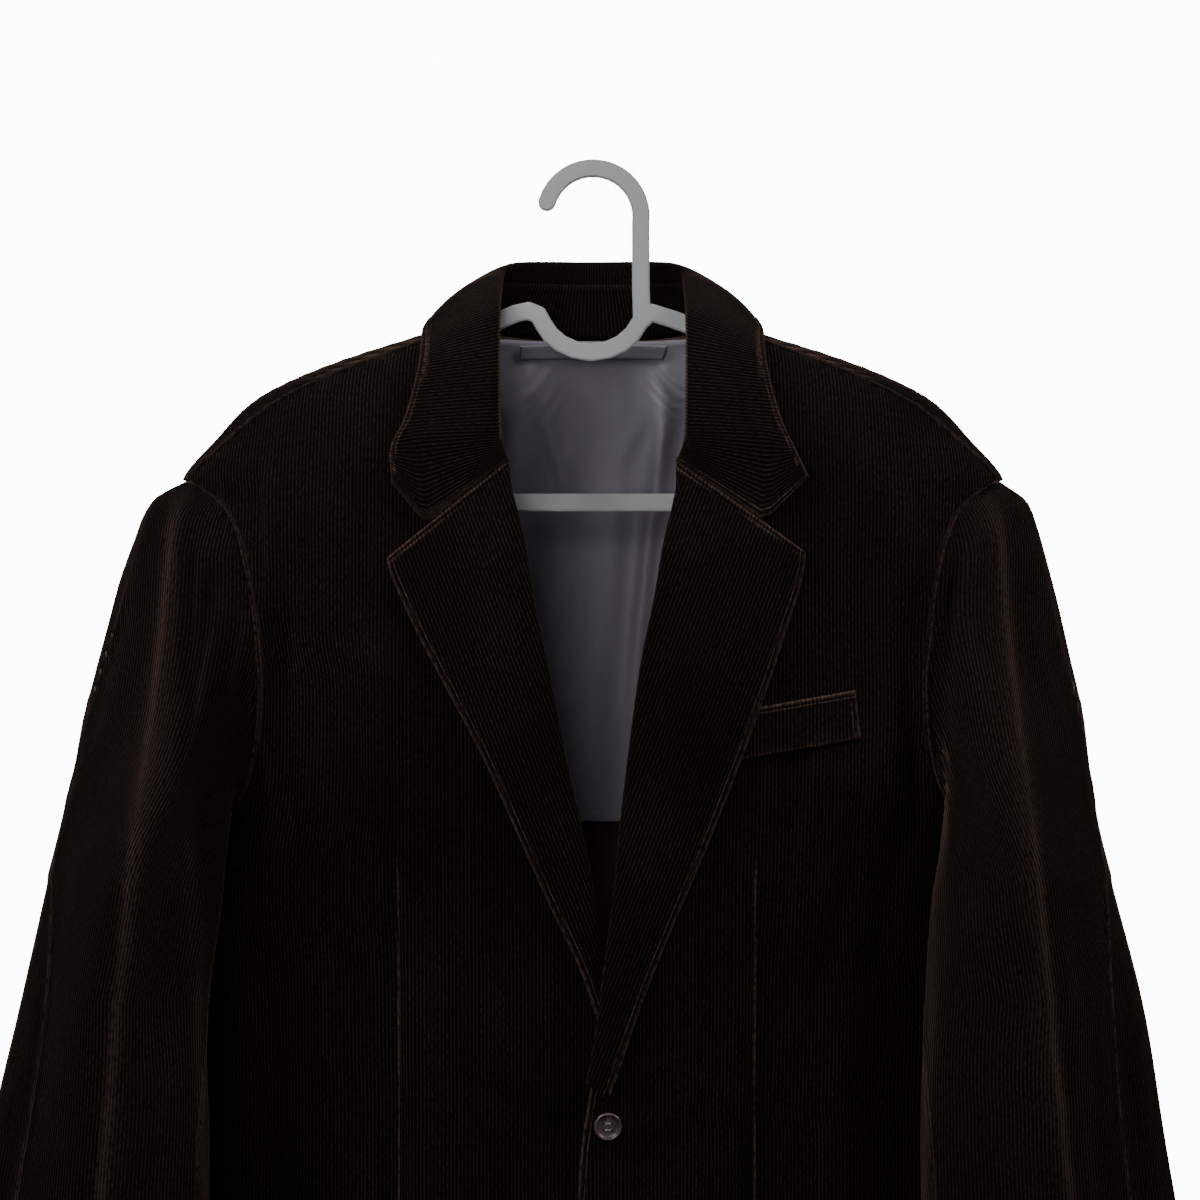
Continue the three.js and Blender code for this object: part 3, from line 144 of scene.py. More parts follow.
# Soft ridges (+) and troughs (-) of the body, each a line from its top to its bottom.
# side -1 is the front and +1 the back. The first rows of each side are the solids' own folds.
DART = {"share": 5 / 12, "top": -391, "right_x": 108, "left_x": 90}
BODY_FOLDS = table("side top_x top_z end_x end_z height width", [
    (-1, -192, -182, -199, -345, 5, 17),
    (-1, -166, -190, -160, -360, -3, 19),
    (-1, 186, -182, 193, -345, 5, 17),
    (-1, 160, -190, 150, -350, -3, 19),
    (-1, -120, -240, -112, -420, 4, 18),
    (-1, -DART["right_x"], DART["top"], -DART["right_x"], -640, -4, 10),
    (-1, DART["left_x"], DART["top"], DART["left_x"], -640, -4, 10),
    (-1, 152, -310, 118, -470, 3.5, 20),
    (-1, -150, -400, -165, -850, 4, 22),
    (-1, 140, -480, 158, -850, 4, 22),
    (1, -150, -150, -95, -420, 4.5, 26),
    (1, 150, -150, 92, -420, 4.5, 26),
    (1, -50, -120, -42, -380, -3.5, 24),
    (1, 46, -120, 50, -380, -3.5, 24),
    (1, -120, -430, -135, -860, 5, 28),
    (1, 118, -430, 138, -860, 5, 28),
    (-1, -197, -236, -192, -404, 2.2, 6),
    (-1, -178, -262, -186, -352, -2.0, 7),
    (-1, -214, -330, -196, -392, -2.2, 8),
    (-1, -127, -262, -122, -372, 1.6, 7),
    (-1, -140, -330, -133, -470, 1.2, 9),
    (-1, -176, -420, -180, -610, -1.8, 11),
    (-1, -88, -470, -94, -700, 1.4, 9),
    (-1, -60, -430, -24, -520, -1.5, 13),
    (-1, 28, -500, 44, -590, -1.4, 8),
    (-1, 26, -556, 22, -680, 1.6, 7),
    (-1, 52, -470, 28, -548, 1.3, 8),
    (-1, 176, -352, 150, -470, -2.0, 10),
    (-1, 196, -330, 176, -420, 1.9, 8),
    (-1, 190, -420, 196, -640, 1.8, 12),
    (-1, 118, -560, 124, -790, -1.6, 12),
    (-1, 205, -220, 176, -300, -1.4, 8),
    (-1, -206, -215, -172, -290, -1.4, 8),
    (1, -190, -240, -120, -372, -2.2, 14),
    (1, 186, -230, 130, -380, -2.4, 15),
    (1, -80, -150, -70, -300, 1.6, 12),
    (1, 84, -140, 66, -330, 1.8, 13),
    (1, -172, -380, -150, -560, 2.0, 13),
    (1, 170, -390, 156, -590, 1.7, 14),
    (1, -60, -520, -70, -860, -2.0, 16),
    (1, 52, -480, 74, -860, -2.2, 17),
    (1, -190, -600, -200, -860, 2.2, 15),
    (1, 186, -560, 198, -860, 2.0, 14),
])

# Sharper creases of the front, each a curve through three places, with a width on each side of it
BODY_CREASES = table("x1 z1 x2 z2 x3 z3 height left right", [
    (176, -225, 177, -290, 183, -372, -5, 7, 5),
    (131, -300, 120, -355, 110, -455, 4.2, 5, 12),
    (150, -330, 141, -390, 122, -470, -3.4, 5, 6),
    (150, -390, 138, -480, 132, -640, 2.6, 6, 14),
    (-182, -215, -184, -290, -180, -372, 4.6, 8, 4),
    (-170, -240, -172, -300, -166, -380, -4, 5, 6),
    (-119, -255, -115, -330, -112, -396, 4.8, 9, 5),
    (-104, -392, -102, -480, -101, -640, 3, 4, 8),
    (-150, -390, -146, -470, -140, -640, 3, 14, 7),
    (86, -390, 84, -500, 84, -640, 3, 8, 4),
    (60, -500, 40, -528, 20, -540, 2.6, 9, 9),
    (-70, -500, -30, -530, -6, -545, -2.4, 14, 10),
    (100, -180, 104, -250, 108, -300, 2.4, 9, 16),
    (-150, -170, -152, -240, -150, -300, 2.6, 12, 8),
    (-184, -160, -181, -205, -180, -262, 4, 3, 7),
    (178, -170, 178, -215, 180, -270, 3, 7, 3),
])


def bent_line(z, x1, z1, x2, z2, x3, z3):
    """The x at a level of a curve through three places."""
    line = x1 * (z - z2) * (z - z3) / ((z1 - z2) * (z1 - z3))
    line = line + x2 * (z - z1) * (z - z3) / ((z2 - z1) * (z2 - z3))
    return line + x3 * (z - z1) * (z - z2) / ((z3 - z1) * (z3 - z2))


def crease_lift(creases, x, z):
    total = 0
    for x1, z1, x2, z2, x3, z3, height, left, right in zip(*creases.values()):
        along = (z1 - z) / (z1 - z3)
        off = x - bent_line(z, x1, z1, x2, z2, x3, z3)
        off = off / np.where(off < 0, left, right)
        total = total + height * smooth(0, 0.22, along) * smooth(1, 0.72, along) * np.exp(-off * off)
    return total


def body_fold(x, z, side):
    total = np.where(side < 0, crease_lift(BODY_CREASES, x, z), 0)
    for s, top_x, top_z, end_x, end_z, height, width in zip(*BODY_FOLDS.values()):
        along = (top_z - z) / (top_z - end_z)
        off = (x - mix(top_x, end_x, along)) / width
        fade = smooth(0, 0.25, along) * smooth(1, 0.7, along) * (along > 0) * (along < 1)
        total = total + np.where(side == s, height * fade * np.exp(-off * off), 0)
    return total


def body_point(phi, z, lift=0.0):
    """The body's outer surface. phi is 0 at the front, 90 at the +X side and 180 behind, in degrees."""
    p = np.radians(phi)
    cos = np.cos(p)
    behind = cos < 0
    depth = np.where(behind, body_back(z), body_front(z))
    x = body_half(z) * np.sin(p)
    reach = np.abs(cos) ** SIDE_ROUNDNESS
    fold = body_fold(x, z, np.where(behind, 1, -1)) * smooth(0, 0.35, reach)
    out = depth * reach + fold + lift
    return xyz(x, np.where(behind, out, -out), z)


def body_normal(phi, z):
    across = body_point(phi + 0.5, z) - body_point(phi - 0.5, z)
    up = body_point(phi, z + 0.5) - body_point(phi, z - 0.5)
    return unit(np.cross(across, up))


def angle_at(x, z):
    return np.degrees(np.arcsin(np.clip(x / body_half(z), -1, 1)))


def front_y(x, z, lift=0.0):
    return body_point(angle_at(x, z), z, lift)[..., 1]


def overlap_lift(x, z):
    """How far the left front lies out where it crosses the right one."""
    most = mix(HEM_OVERLAP_LIFT, FRONT_OVERLAP_LIFT, smooth(-640, -560, z))
    return most * smooth(95, 32, x) * smooth(-330, -420, z)


# Seams: the armhole's x on the front and the back, the shoulder seam and the neck seam
ARMHOLE = table("z front back", [
    (SHOULDER_Z, 229, 235), (-177, 224, 229), (-182, 215, 222), (-190, 206, 215),
    (-205, 198, 208), (-225, 192.5, 203), (-257, 187, 200), (-300, 185, 200),
    (-340, 191, 205), (-360, 202, 216), (-372, 219, 230), (ARMPIT_Z, 249, 249),
])
armhole_front = through(ARMHOLE, "z", "front")
armhole_back = through(ARMHOLE, "z", "back")
SHOULDER_SEAM = table("z forward", [(-84, 22), (-100, 26), (-125, 25), (-150, 20), (SHOULDER_Z, 15)])
seam_forward = through(SHOULDER_SEAM, "z", "forward")
NECK = table("phi z", [
    (12.5, -166), (16, -140), (22, -115), (36, -96), (60, -85.5), (90, -82.5), (120, -84),
    (145, -87), (162, -89.5), (180, -90),
])
neck_z = through(NECK, "phi", "z")
neck_angle = through({k: v[:5] for k, v in NECK.items()}, "z", "phi")


def shoulder_seam_angle(z):
    return np.degrees(np.arccos((seam_forward(z) / body_front(z)) ** (1 / SIDE_ROUNDNESS)))


# Front edges below the break and roll lines above it: distance from the middle at each level.
# For the right front x is mirrored, so a negative number lies on the wearer's left of the middle.
FRONT_EDGE = {
    "left": table("z x", [
        (NECK_SEAM_Z, 49.5), (-193, 43.4), (-212, 38.8), (-242, 33.7), (-277, 26.5),
        (-308, 22), (-364, 15), (-407, 11), (-438, 6.7), (-468, 2.9), (-520, -3),
        (BREAK_Z, -6.5), (-600, -9.5), (-700, -8), (-760, -2), (-795, 12), (-818, 32),
        (HEM_Z, 56),
    ]),
    "right": table("z x", [
        (NECK_SEAM_Z, 49.5), (-188, 42.9), (-213, 36.7), (-242, 32.3), (-286, 22.9),
        (-336, 13), (-364, 6.4), (-425, -5.6), (-465, -11.5), (-500, -18), (BREAK_Z, -22.5),
        (-600, -23), (-700, -21), (-760, -14), (-795, 2), (-818, 24), (HEM_Z, 50),
    ]),
}
ROLL_RADIUS = 2.8  # of the lapel's fold, outside
edge_curve = {side: through(FRONT_EDGE[side], "z", "x") for side in FRONT_EDGE}


def front_edge(side, z):
    """Above the break the panel stops short of the roll line, so that the lapel's fold reaches it."""
    return edge_curve[side](z) + ROLL_RADIUS * smooth(-530, -470, z) * smooth(NECK_SEAM_Z, -185, z)


# How cloth ends: height over the surface, and how worn it is, by the distance from the end
FINISHED = table("off height wear", [
    (0, -1.3, 0.15), (0.6, -0.4, 0.55), (1.2, 0.25, 0.2), (2.3, 0.25, 0.0),
    (3.1, -0.35, 0.0), (3.6, 0.25, 0.5), (4.1, 0.1, 0.0), (7, 0, 0.0),
])
SEWN = table("off height wear", [
    (0, 0, 0.0), (0.6, 0.4, 0.25), (1.2, 0.65, 0.15), (2.0, 0.55, 0.0), (4.5, 0, 0.0),
])
PLAIN = table("off height wear", [(0, 0, 0), (1, 0, 0)])
CREASE = table("off height wear", [
    (0, -1.0, 0.65), (0.45, -0.5, 0.3), (0.9, 0.2, 0.0), (1.8, 0.4, 0.0), (6, 0, 0.0),
])


def cumulative(points, axis):
    steps = np.linalg.norm(np.diff(points, axis=axis), axis=-1)
    start = np.zeros_like(np.take(steps, [0], axis))
    return np.concatenate([start, np.cumsum(steps, axis)], axis)


def grid_normals(points):
    across = np.gradient(points, axis=1)
    along = np.gradient(points, axis=0)
    return unit(np.cross(across, along))


def refined(points, down, across):
    """A grid of points with a smooth curve through each row and column, and more of both."""
    for axis, count in ((0, down), (1, across)):
        if count == 1:
            continue
        p = np.moveaxis(points, axis, 0)
        n = len(p)
        at = np.linspace(0, n - 1, (n - 1) * count + 1)
        i = np.minimum(at.astype(int), n - 2)
        t = (at - i).reshape((-1,) + (1,) * (p.ndim - 1))
        before, here = p[np.maximum(i - 1, 0)], p[i]
        after, beyond = p[i + 1], p[np.minimum(i + 2, n - 1)]
        curve = 2 * here + (after - before) * t
        curve += (2 * before - 5 * here + 4 * after - beyond) * t**2
        curve += (3 * here - before - 3 * after + beyond) * t**3
        points = np.moveaxis(curve / 2, 0, axis)
    return points


def new_object(name, vertices, faces, material, uv=None, values=None):
    """A mesh object from points in millimetres. values holds one number for each vertex by name."""
    mesh = bpy.data.meshes.new(name)
    mesh.from_pydata((vertices * MM).tolist(), [], faces)
    for key, numbers in (values or {}).items():
        layer = mesh.attributes.new(key, "FLOAT", "POINT")
        layer.data.foreach_set("value", np.asarray(numbers, np.float32))
    if uv is not None:
        corners = np.empty(len(mesh.loops), np.int64)
        mesh.loops.foreach_get("vertex_index", corners)
        layer = mesh.uv_layers.new(name="cloth")
        layer.data.foreach_set("uv", uv[corners].astype(np.float32).ravel())
    for m in material if isinstance(material, list) else [material]:
        mesh.materials.append(m)
    mesh.polygons.foreach_set("use_smooth", np.ones(len(mesh.polygons), bool))
    mesh.update()
    obj = bpy.data.objects.new(name, mesh)
    bpy.context.scene.collection.objects.link(obj)
    return obj


def first_of_run(positions):
    """For each row, the column where a run of equal positions starts."""
    rows, columns = positions.shape
    starts = np.ones((rows, columns), bool)
    starts[:, 1:] = np.diff(positions, axis=1) > 1e-4
    return np.maximum.accumulate(np.where(starts, np.arange(columns), 0), axis=1)


def distinct(corners):
    """The corners of a face without those that fall together."""
    return list(dict.fromkeys(corners))


def strip_faces(*corners):
    """Faces from four arrays of corners."""
    quads = np.stack(corners, -1).reshape(-1, 4).tolist()
    return [face for face in map(distinct, quads) if len(face) > 2]


def wall_faces(front, back):
    """Faces of two grids of corners, the second turned round, and of the wall beside their columns."""
    grids = []
    for grid, way in ((front, 1), (back, -1)):
        ring = [grid[:-1, :-1], grid[:-1, 1:], grid[1:, 1:], grid[1:, :-1]]
        grids.append(strip_faces(ring[0], *ring[1:][::way]))
    sides = strip_faces(front[:-1, 0], front[1:, 0], back[1:, 0], back[:-1, 0])
    sides += strip_faces(front[1:, -1], front[:-1, -1], back[:-1, -1], back[1:, -1])
    return *grids, sides


# How wales lie on a piece
WALE_SHAPE = 0.6  # a power that broadens each ridge
WALE_LEVEL = 0.6  # the share of its height that lies under the surface
WALE_AT_EDGE = 0.55
WALE_AT_BACK = 0.45
WALE_FADE = (0.2, 2.4)  # from a piece's sides, where its wales begin
END_ROOM = 40  # the most that an end may take up
UV_SCALE = 10


def corduroy_piece(name, surface, normals, grain, ends, wall=CLOTH, lines=None, painted_fold_sheen=None):
    """A closed wall of corduroy. surface and normals are grids of rows across the wales, grain is the
    place of each point across the wales, rising along a row, and ends names how its four sides end:
    (first column, last column, first row, last row). lines adds creases where the pile wears: a grid of
    distances.
    painted_fold_sheen is a grid of painted sheen, added to the wear values away from the ends."""
    rows = surface.shape[0]
    step = WALE / WALE_COLUMNS
    lows, highs = grain[:, :1], grain[:, -1:]
    first, last = ends[0]["off"][:-1], ends[1]["off"][:-1]
    inside = np.arange(math.floor(lows.min() / step), math.ceil(highs.max() / step) + 1) * step
    room = np.minimum((highs - lows) / 2.001, END_ROOM)
    left = lows + np.minimum(first, room)
    right = highs - np.minimum(last[::-1], room)
    middle = np.clip(inside, left[:, -1:], np.maximum(right[:, :1], left[:, -1:]))
    places = np.concatenate([left, middle, right], 1)
    columns = places.shape[1]

    def along_rows(values):
        return np.array([np.interp(places[j], grain[j], values[j]) for j in range(rows)])

    points = np.stack([along_rows(surface[..., k]) for k in range(3)], -1)
    outward = unit(np.stack([along_rows(normals[..., k]) for k in range(3)], -1))
    down = cumulative(points, 0)
    from_ends = [places - lows, highs - places, down, down[-1:] - down]
    profiles = list(zip(from_ends, ends))
    if lines is not None:
        profiles.append((along_rows(lines), CREASE))
    height = sum(np.interp(off, end["off"], end["height"]) for off, end in profiles)
    wear = np.maximum.reduce([np.interp(off, end["off"], end["wear"]) for off, end in profiles])
    # Painted sheen, where given, joins the wear values
    if painted_fold_sheen is not None:
        wear = np.maximum(wear, along_rows(painted_fold_sheen))
    wave = 0.5 - 0.5 * np.cos(2 * np.pi * places / WALE)
    inward = smooth(*WALE_FADE, np.minimum(from_ends[0], from_ends[1]))
    wale = mix(WALE_AT_EDGE, wave**WALE_SHAPE, inward)
    height = height + WALE_RELIEF * (wale - WALE_LEVEL)
    outer = points + outward * height[..., None]

    # The back of the wall has one column for each wale, and all those of its sides.
    beside = columns - len(last)
    between = range(len(first), beside, WALE_COLUMNS)
    picked = np.unique([*range(len(first)), *between, *range(beside, columns)])
    inner = (points - outward * wall)[:, picked]
    row_start = np.arange(rows)[:, None]
    front = row_start * columns + first_of_run(places)
    back = rows * columns + row_start * len(picked) + first_of_run(places[:, picked])
    shown, hidden, sides = wall_faces(front, back)
    for j, way in ((0, -1), (rows - 1, 1)):
        for k in range(len(picked) - 1):
            span = front[j, picked[k]:picked[k + 1] + 1]
            face = distinct([*span, back[j, k + 1], back[j, k]][::way])
            if len(face) > 2:
                sides.append(face)
    faces = shown + hidden + sides

    vertices = np.concatenate([outer.reshape(-1, 3), inner.reshape(-1, 3)])
    uv = np.stack([places, down], -1)
    uv = np.concatenate([uv.reshape(-1, 2), uv[:, picked].reshape(-1, 2)]) * MM * UV_SCALE
    # The wear values hold real wear and, on the sleeves, the painted sheen of the standing fold
    values = {
        "wale": np.concatenate([wale.ravel(), np.full(inner[..., 0].size, WALE_AT_BACK)]),
        "wear": np.concatenate([wear.ravel(), np.zeros(inner[..., 0].size)]),
    }
    used = np.zeros(len(vertices), bool)
    used[np.concatenate(faces)] = True
    renumber = np.cumsum(used) - 1
    faces = [renumber[face].tolist() for face in faces]
    values = {k: v[used] for k, v in values.items()}
    obj = new_object(f"{name}_cloth", vertices[used], faces, [CORDUROY, REVERSE], uv[used], values)
    kinds = np.zeros(len(faces), np.int32)
    kinds[len(shown):len(shown) + len(hidden)] = 1
    obj.data.polygons.foreach_set("material_index", kinds)
    finish_cloth(obj, name, points, (highs - lows).max())


def face_out(obj):
    """Turns a closed mesh's faces outward."""
    mesh = obj.data
    mesh.calc_loop_triangles()
    corners = np.empty(len(mesh.loop_triangles) * 3, np.int64)
    mesh.loop_triangles.foreach_get("vertices", corners)
    places = np.empty(len(mesh.vertices) * 3)
    mesh.vertices.foreach_get("co", places)
    p = places.reshape(-1, 3)[corners].reshape(-1, 3, 3)
    volume = np.sum(p[:, 0] * np.cross(p[:, 1], p[:, 2]))
    if volume < 0:
        mesh.flip_normals()


def finish_cloth(obj, name, points, width):
    """Sets a cloth piece on the body, in place of its solid."""
    face_out(obj)
    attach(obj, "root")
    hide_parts(name)
    length = cumulative(points, 0)[-1].max()


# Materials
class Look:
    """A material being made: its Principled shader's own values, and the nodes that feed it."""

    def __init__(self, name, roughness, specular=0.5, sheen=(), coat=()):
        self.material = bpy.data.materials.new(name)
        self.material.use_nodes = True
        self.inputs = self.material.node_tree.nodes["Principled BSDF"].inputs
        values = {"Roughness": roughness, "Specular IOR Level": specular}
        values.update(zip(("Sheen Weight", "Sheen Roughness", "Sheen Tint"), sheen))
        values.update(zip(("Coat Weight", "Coat Roughness"), coat))
        for key, value in values.items():
            self.inputs[key].default_value = value

    def link(self, output, target):
        self.material.node_tree.links.new(output, target)

    def node(self, kind, inputs=None, **settings):
        """A shader node. An input is a value, or another node's output to link."""
        made = self.material.node_tree.nodes.new(kind)
        for key, value in settings.items():
            setattr(made, key, value)
        for key, value in (inputs or {}).items():
            if isinstance(value, bpy.types.NodeSocket):
                self.link(value, made.inputs[key])
            else:
                made.inputs[key].default_value = value
        return made

    def cloth(self):
        """Places on the cloth, across and along its wales."""
        return self.node("ShaderNodeUVMap", uv_map="cloth").outputs["UV"]

    def place(self):
        return self.node("ShaderNodeTexCoord").outputs["Object"]

    def attribute(self, name):
        return self.node("ShaderNodeAttribute", attribute_name=name).outputs["Fac"]

    def noise(self, at, scale, stretch=(1, 1, 1), detail=3.0):
        spot = self.node("ShaderNodeMapping", {"Vector": at, "Scale": stretch}).outputs["Vector"]
        inputs = {"Vector": spot, "Scale": scale, "Detail": detail}
        return self.node("ShaderNodeTexNoise", inputs).outputs["Fac"]

    def remap(self, value, low, high, to_low=0.0, to_high=1.0):
        keys = ("Value", "From Min", "From Max", "To Min", "To Max")
        values = (value, low, high, to_low, to_high)
        return self.node("ShaderNodeMapRange", dict(zip(keys, values))).outputs["Result"]

    def maths(self, operation, a, b):
        return self.node("ShaderNodeMath", {0: a, 1: b}, operation=operation).outputs[0]

    def product(self, first, *others):
        for other in others:
            first = self.maths("MULTIPLY", first, other)
        return first

    def blend(self, factor, a, b):
        """Between two colours, each a tuple or another node's output."""
        a, b = (c if isinstance(c, bpy.types.NodeSocket) else (*c, 1) for c in (a, b))
        return self.node("ShaderNodeMix", {"Factor": factor, 6: a, 7: b}, data_type="RGBA").outputs[2]

    def finish(self, colour, height=None, distance=0.0):
        """Sets the colour, and a relief of height times the distance in metres."""
        self.link(colour, self.inputs["Base Color"])
        if height is not None:
            relief = self.node("ShaderNodeBump", {"Height": height, "Distance": distance, "Strength": 1.0})
            self.link(relief.outputs["Normal"], self.inputs["Normal"])
        return self.material


# Colours of the pile: painted shade between the wales, painted light on them, its real wear (which also
# carries the painted sheen of each sleeve's standing fold), and a painted sheen where it is seen edge on
SHADED_VALLEY = (0.0002, 0.00013, 0.0001)
LIT_RIDGE = (0.0118, 0.0065, 0.0046)
WEAR_AND_SHEEN_COLOUR = (0.115, 0.068, 0.049)
PAINTED_SHEEN = (0.034, 0.0194, 0.0142)


def corduroy_material():
    look = Look("corduroy", 0.95, 0.03, sheen=(0.06, 0.30, (0.42, 0.27, 0.205, 1)))
    cloth = look.cloth()
    wale = look.attribute("wale")
    pile = look.noise(cloth, 1.0, (190, 34, 1), 4.0)
    tufts = look.noise(cloth, 1.0, (330, 150, 1), 2.0)
    nap = look.noise(look.place(), 16.0, (1, 1, 0.45), 3.0)
    # Painted light on the crests of the wales and painted shade between them, varied by the pile and nap
    lit = look.product(
        look.remap(wale, 0.6, 1.0), look.remap(pile, 0.34, 0.7, 0.05, 1.1),
        look.remap(nap, 0.3, 0.7, 0.45, 1.25),
    )
    colour = look.blend(lit, SHADED_VALLEY, LIT_RIDGE)
    chain = look.noise(cloth, 1.0, (60, 26, 1), 2.0)
    # Real wear at ends and creases, and on the sleeves the painted sheen of the standing fold, turn the pile
    # paler
    wear_and_sheen = look.product(
        look.attribute("wear"), look.remap(tufts, 0.3, 0.7, 0.25, 0.8),
        look.remap(chain, 0.35, 0.65, 0.15, 1.2), look.remap(wale, 0.0, 1.0, 0.45, 1.0),
    )
    colour = look.blend(wear_and_sheen, colour, WEAR_AND_SHEEN_COLOUR)
    # Painted sheen: the pile is painted paler where its surface is seen edge on
    edge_on = look.node("ShaderNodeLayerWeight", {"Blend": 0.5}).outputs["Facing"]
    painted_sheen_mask = look.product(look.remap(edge_on, 0.58, 0.94), look.remap(pile, 0.3, 0.72, 0.35, 1.0))
    return look.finish(look.blend(painted_sheen_mask, colour, PAINTED_SHEEN), look.maths("ADD", pile, tufts), 0.00014)


def reverse_material():
    """The cloth's flat back, a fine twill."""
    look = Look("corduroy_reverse", 0.9, 0.15, sheen=(0.08, 0.3, (0.6, 0.45, 0.4, 1)))
    cloth = look.cloth()
    at = look.node("ShaderNodeMapping", {"Vector": cloth, "Rotation": (0, 0, 0.9)}).outputs["Vector"]
    inputs = {"Vector": at, "Scale": 42.0, "Distortion": 1.2, "Detail": 2.0}
    twill = look.node("ShaderNodeTexWave", inputs).outputs["Fac"]
    slub = look.noise(cloth, 1.0, (60, 14, 1), 3.0)
    mixed = look.product(twill, look.remap(slub, 0.3, 0.7, 0.6, 1.2))
    return look.finish(look.blend(mixed, (0.010, 0.0058, 0.0042), (0.034, 0.021, 0.0155)), twill, 0.0002)


def lining_material():
    """Satin: fine warp lines with soft changes of shade."""
    look = Look("lining", 0.55, 0.22, sheen=(0.08, 0.3, (0.75, 0.72, 0.85, 1)))
    warp = look.noise(look.cloth(), 1.0, (420, 9, 1), 3.0)
    shade = look.noise(look.place(), 30.0, (1, 1, 0.5), 2.0)
    mixed = look.product(look.remap(warp, 0.3, 0.7, 0.7, 1.1), look.remap(shade, 0.3, 0.7, 0.75, 1.1))
    return look.finish(look.blend(mixed, (0.035, 0.0317, 0.0390), (0.082, 0.0744, 0.0912)), warp, 0.00006)


def label_material():
    """A woven tape, bare, with a fine crosswise rib."""
    look = Look("patch", 0.6, 0.35, sheen=(0.2, 0.35, (0.85, 0.85, 0.95, 1)))
    cloth = look.cloth()
    rib = look.noise(cloth, 1.0, (30, 420, 1), 3.0)
    weft = look.noise(cloth, 1.0, (260, 60, 1), 3.0)
    mixed = look.product(look.remap(rib, 0.3, 0.7, 0.6, 1.1), look.remap(weft, 0.3, 0.7, 0.7, 1.1))
    return look.finish(look.blend(mixed, (0.032, 0.0293, 0.0356), (0.068, 0.0632, 0.0761)), rib, 0.0001)


def plastic_material():
    look = Look("hanger", 0.4)
    place = look.place()
    cloud = look.noise(place, 30.0)
    look.link(look.remap(cloud, 0.3, 0.7, 0.33, 0.5), look.inputs["Roughness"])
    colour = look.blend(cloud, (0.070, 0.070, 0.0735), (0.098, 0.098, 0.1025))
    return look.finish(colour, look.noise(place, 2600.0, detail=2.0), 0.00003)


def button_material():
    """Horn-like resin with faint streaks."""
    look = Look("button", 0.3, 0.18, coat=(0.06, 0.12))
    place = look.place()
    streak = look.remap(look.noise(place, 320.0, (1, 1, 0.3), 4.0), 0.35, 0.65)
    scratch = look.noise(place, 1500.0, (1, 1, 0.2), 2.0)
    return look.finish(look.blend(streak, (0.005, 0.003, 0.0033), (0.024, 0.014, 0.015)), scratch, 0.00002)


def thread_material():
    look = Look("thread", 0.7, sheen=(0.3,))
    strands = look.noise(look.place(), 5200.0, detail=2.0)
    return look.finish(look.blend(strands, (0.012, 0.008, 0.006), (0.04, 0.027, 0.02)), strands, 0.00005)


BACKDROP_GLOW = 12.0  # seen by the camera alone


def stage_material():
    look = Look("stage", 0.9, 0.1)
    look.inputs["Emission Color"].default_value = (1, 1, 1, 1)
    look.inputs["Emission Strength"].default_value = BACKDROP_GLOW
    mottle = look.noise(look.place(), 0.7)
    return look.finish(look.blend(mottle, (0.86, 0.86, 0.86), (0.9, 0.9, 0.9)))


CORDUROY = corduroy_material()
REVERSE = reverse_material()
LINING = lining_material()
LABEL = label_material()
PLASTIC = plastic_material()
HORN = button_material()
THREAD = thread_material()

# Body panels
ROW_HEIGHT = 9.5
DENSE = 260  # points along a row before its wales are placed
HALF_GAP_ANGLE = -0.01  # half of the gap at a seam, in degrees; negative, so that the edges just cross
BODY_MIDDLE = np.array([0, 0, -450])


def levels(low, high, finished=True):
    """Levels from low to high, closer together at the finished lower end."""
    near = FINISHED["off"][1:-1] if finished else []
    start = low + (near[-1] if finished else 0)
    count = max(2, math.ceil((high - start) / ROW_HEIGHT))
    return [low, *[low + off for off in near[:-1]], *np.linspace(start, high, count + 1)]


ARMHOLE_LEVELS = [
    ARMPIT_Z, -378.7, -377, -374.5, -371.5, -367, -361, -354, -346, -338, -329, -320, -310, -300, -290,
    -280, -270, -260, -251, -242, -233, -225, -217, -209.5, -202.5, -196.5, -191, -186.5, -183, -180.2,
    -178, -176.2,
]
SHOULDER_LEVELS = [-173, *np.linspace(-170, -91, 21)]
BODY_LEVELS = levels(HEM_Z, -384)


SHARP_TURNS = ((-450, -320), (-213, -134))  # levels between which a panel's edge turns sharply


def spread(edge_angle, z):
    """Where a panel's edge turns sharply, only its last columns follow the edge."""
    end = edge_angle(z)
    for low, high in SHARP_TURNS:
        if low < z < high:
            near = mix(edge_angle(low), edge_angle(high), smooth(low, high, z))
            return lambda u: mix(near, end, smooth(0.55, 1, u))
    return lambda u: end + 0 * u


def front_panel(side):
    mirror = MIRROR[side]
    dart_x = DART["left_x"] if side == "left" else DART["right_x"]
    zs = [*BODY_LEVELS, *ARMHOLE_LEVELS, *SHOULDER_LEVELS, FRONT_TOP_Z]

    def outer_angle(z):
        if z < ARMPIT_Z - 0.5:
            return 90.0
        if z > SHOULDER_Z:
            return float(shoulder_seam_angle(z))
        return float(angle_at(armhole_front(z), z))

    u = np.linspace(0, 1, DENSE)
    points = []
    for z in zs:
        start = float(neck_angle(z)) if z > NECK_SEAM_Z else float(angle_at(front_edge(side, z), z))
        to = spread(outer_angle, z)
        level = smooth(-340, -240, z)
        free = mix(start, to(DART["share"]), DART["share"])
        dart = mix(float(angle_at(dart_x, z)), free, level)
        after = (u - DART["share"]) / (1 - DART["share"])
        beyond = mix(dart, to(u) - HALF_GAP_ANGLE * 2, after)
        phi = np.where(u < DART["share"], mix(start, dart, u / DART["share"]), beyond)
        lift = overlap_lift(body_point(phi, z)[..., 0], z) if side == "left" else 0
        points.append(body_point(phi * mirror, np.full_like(phi, z), lift))
    return np.array(zs), np.array(points)


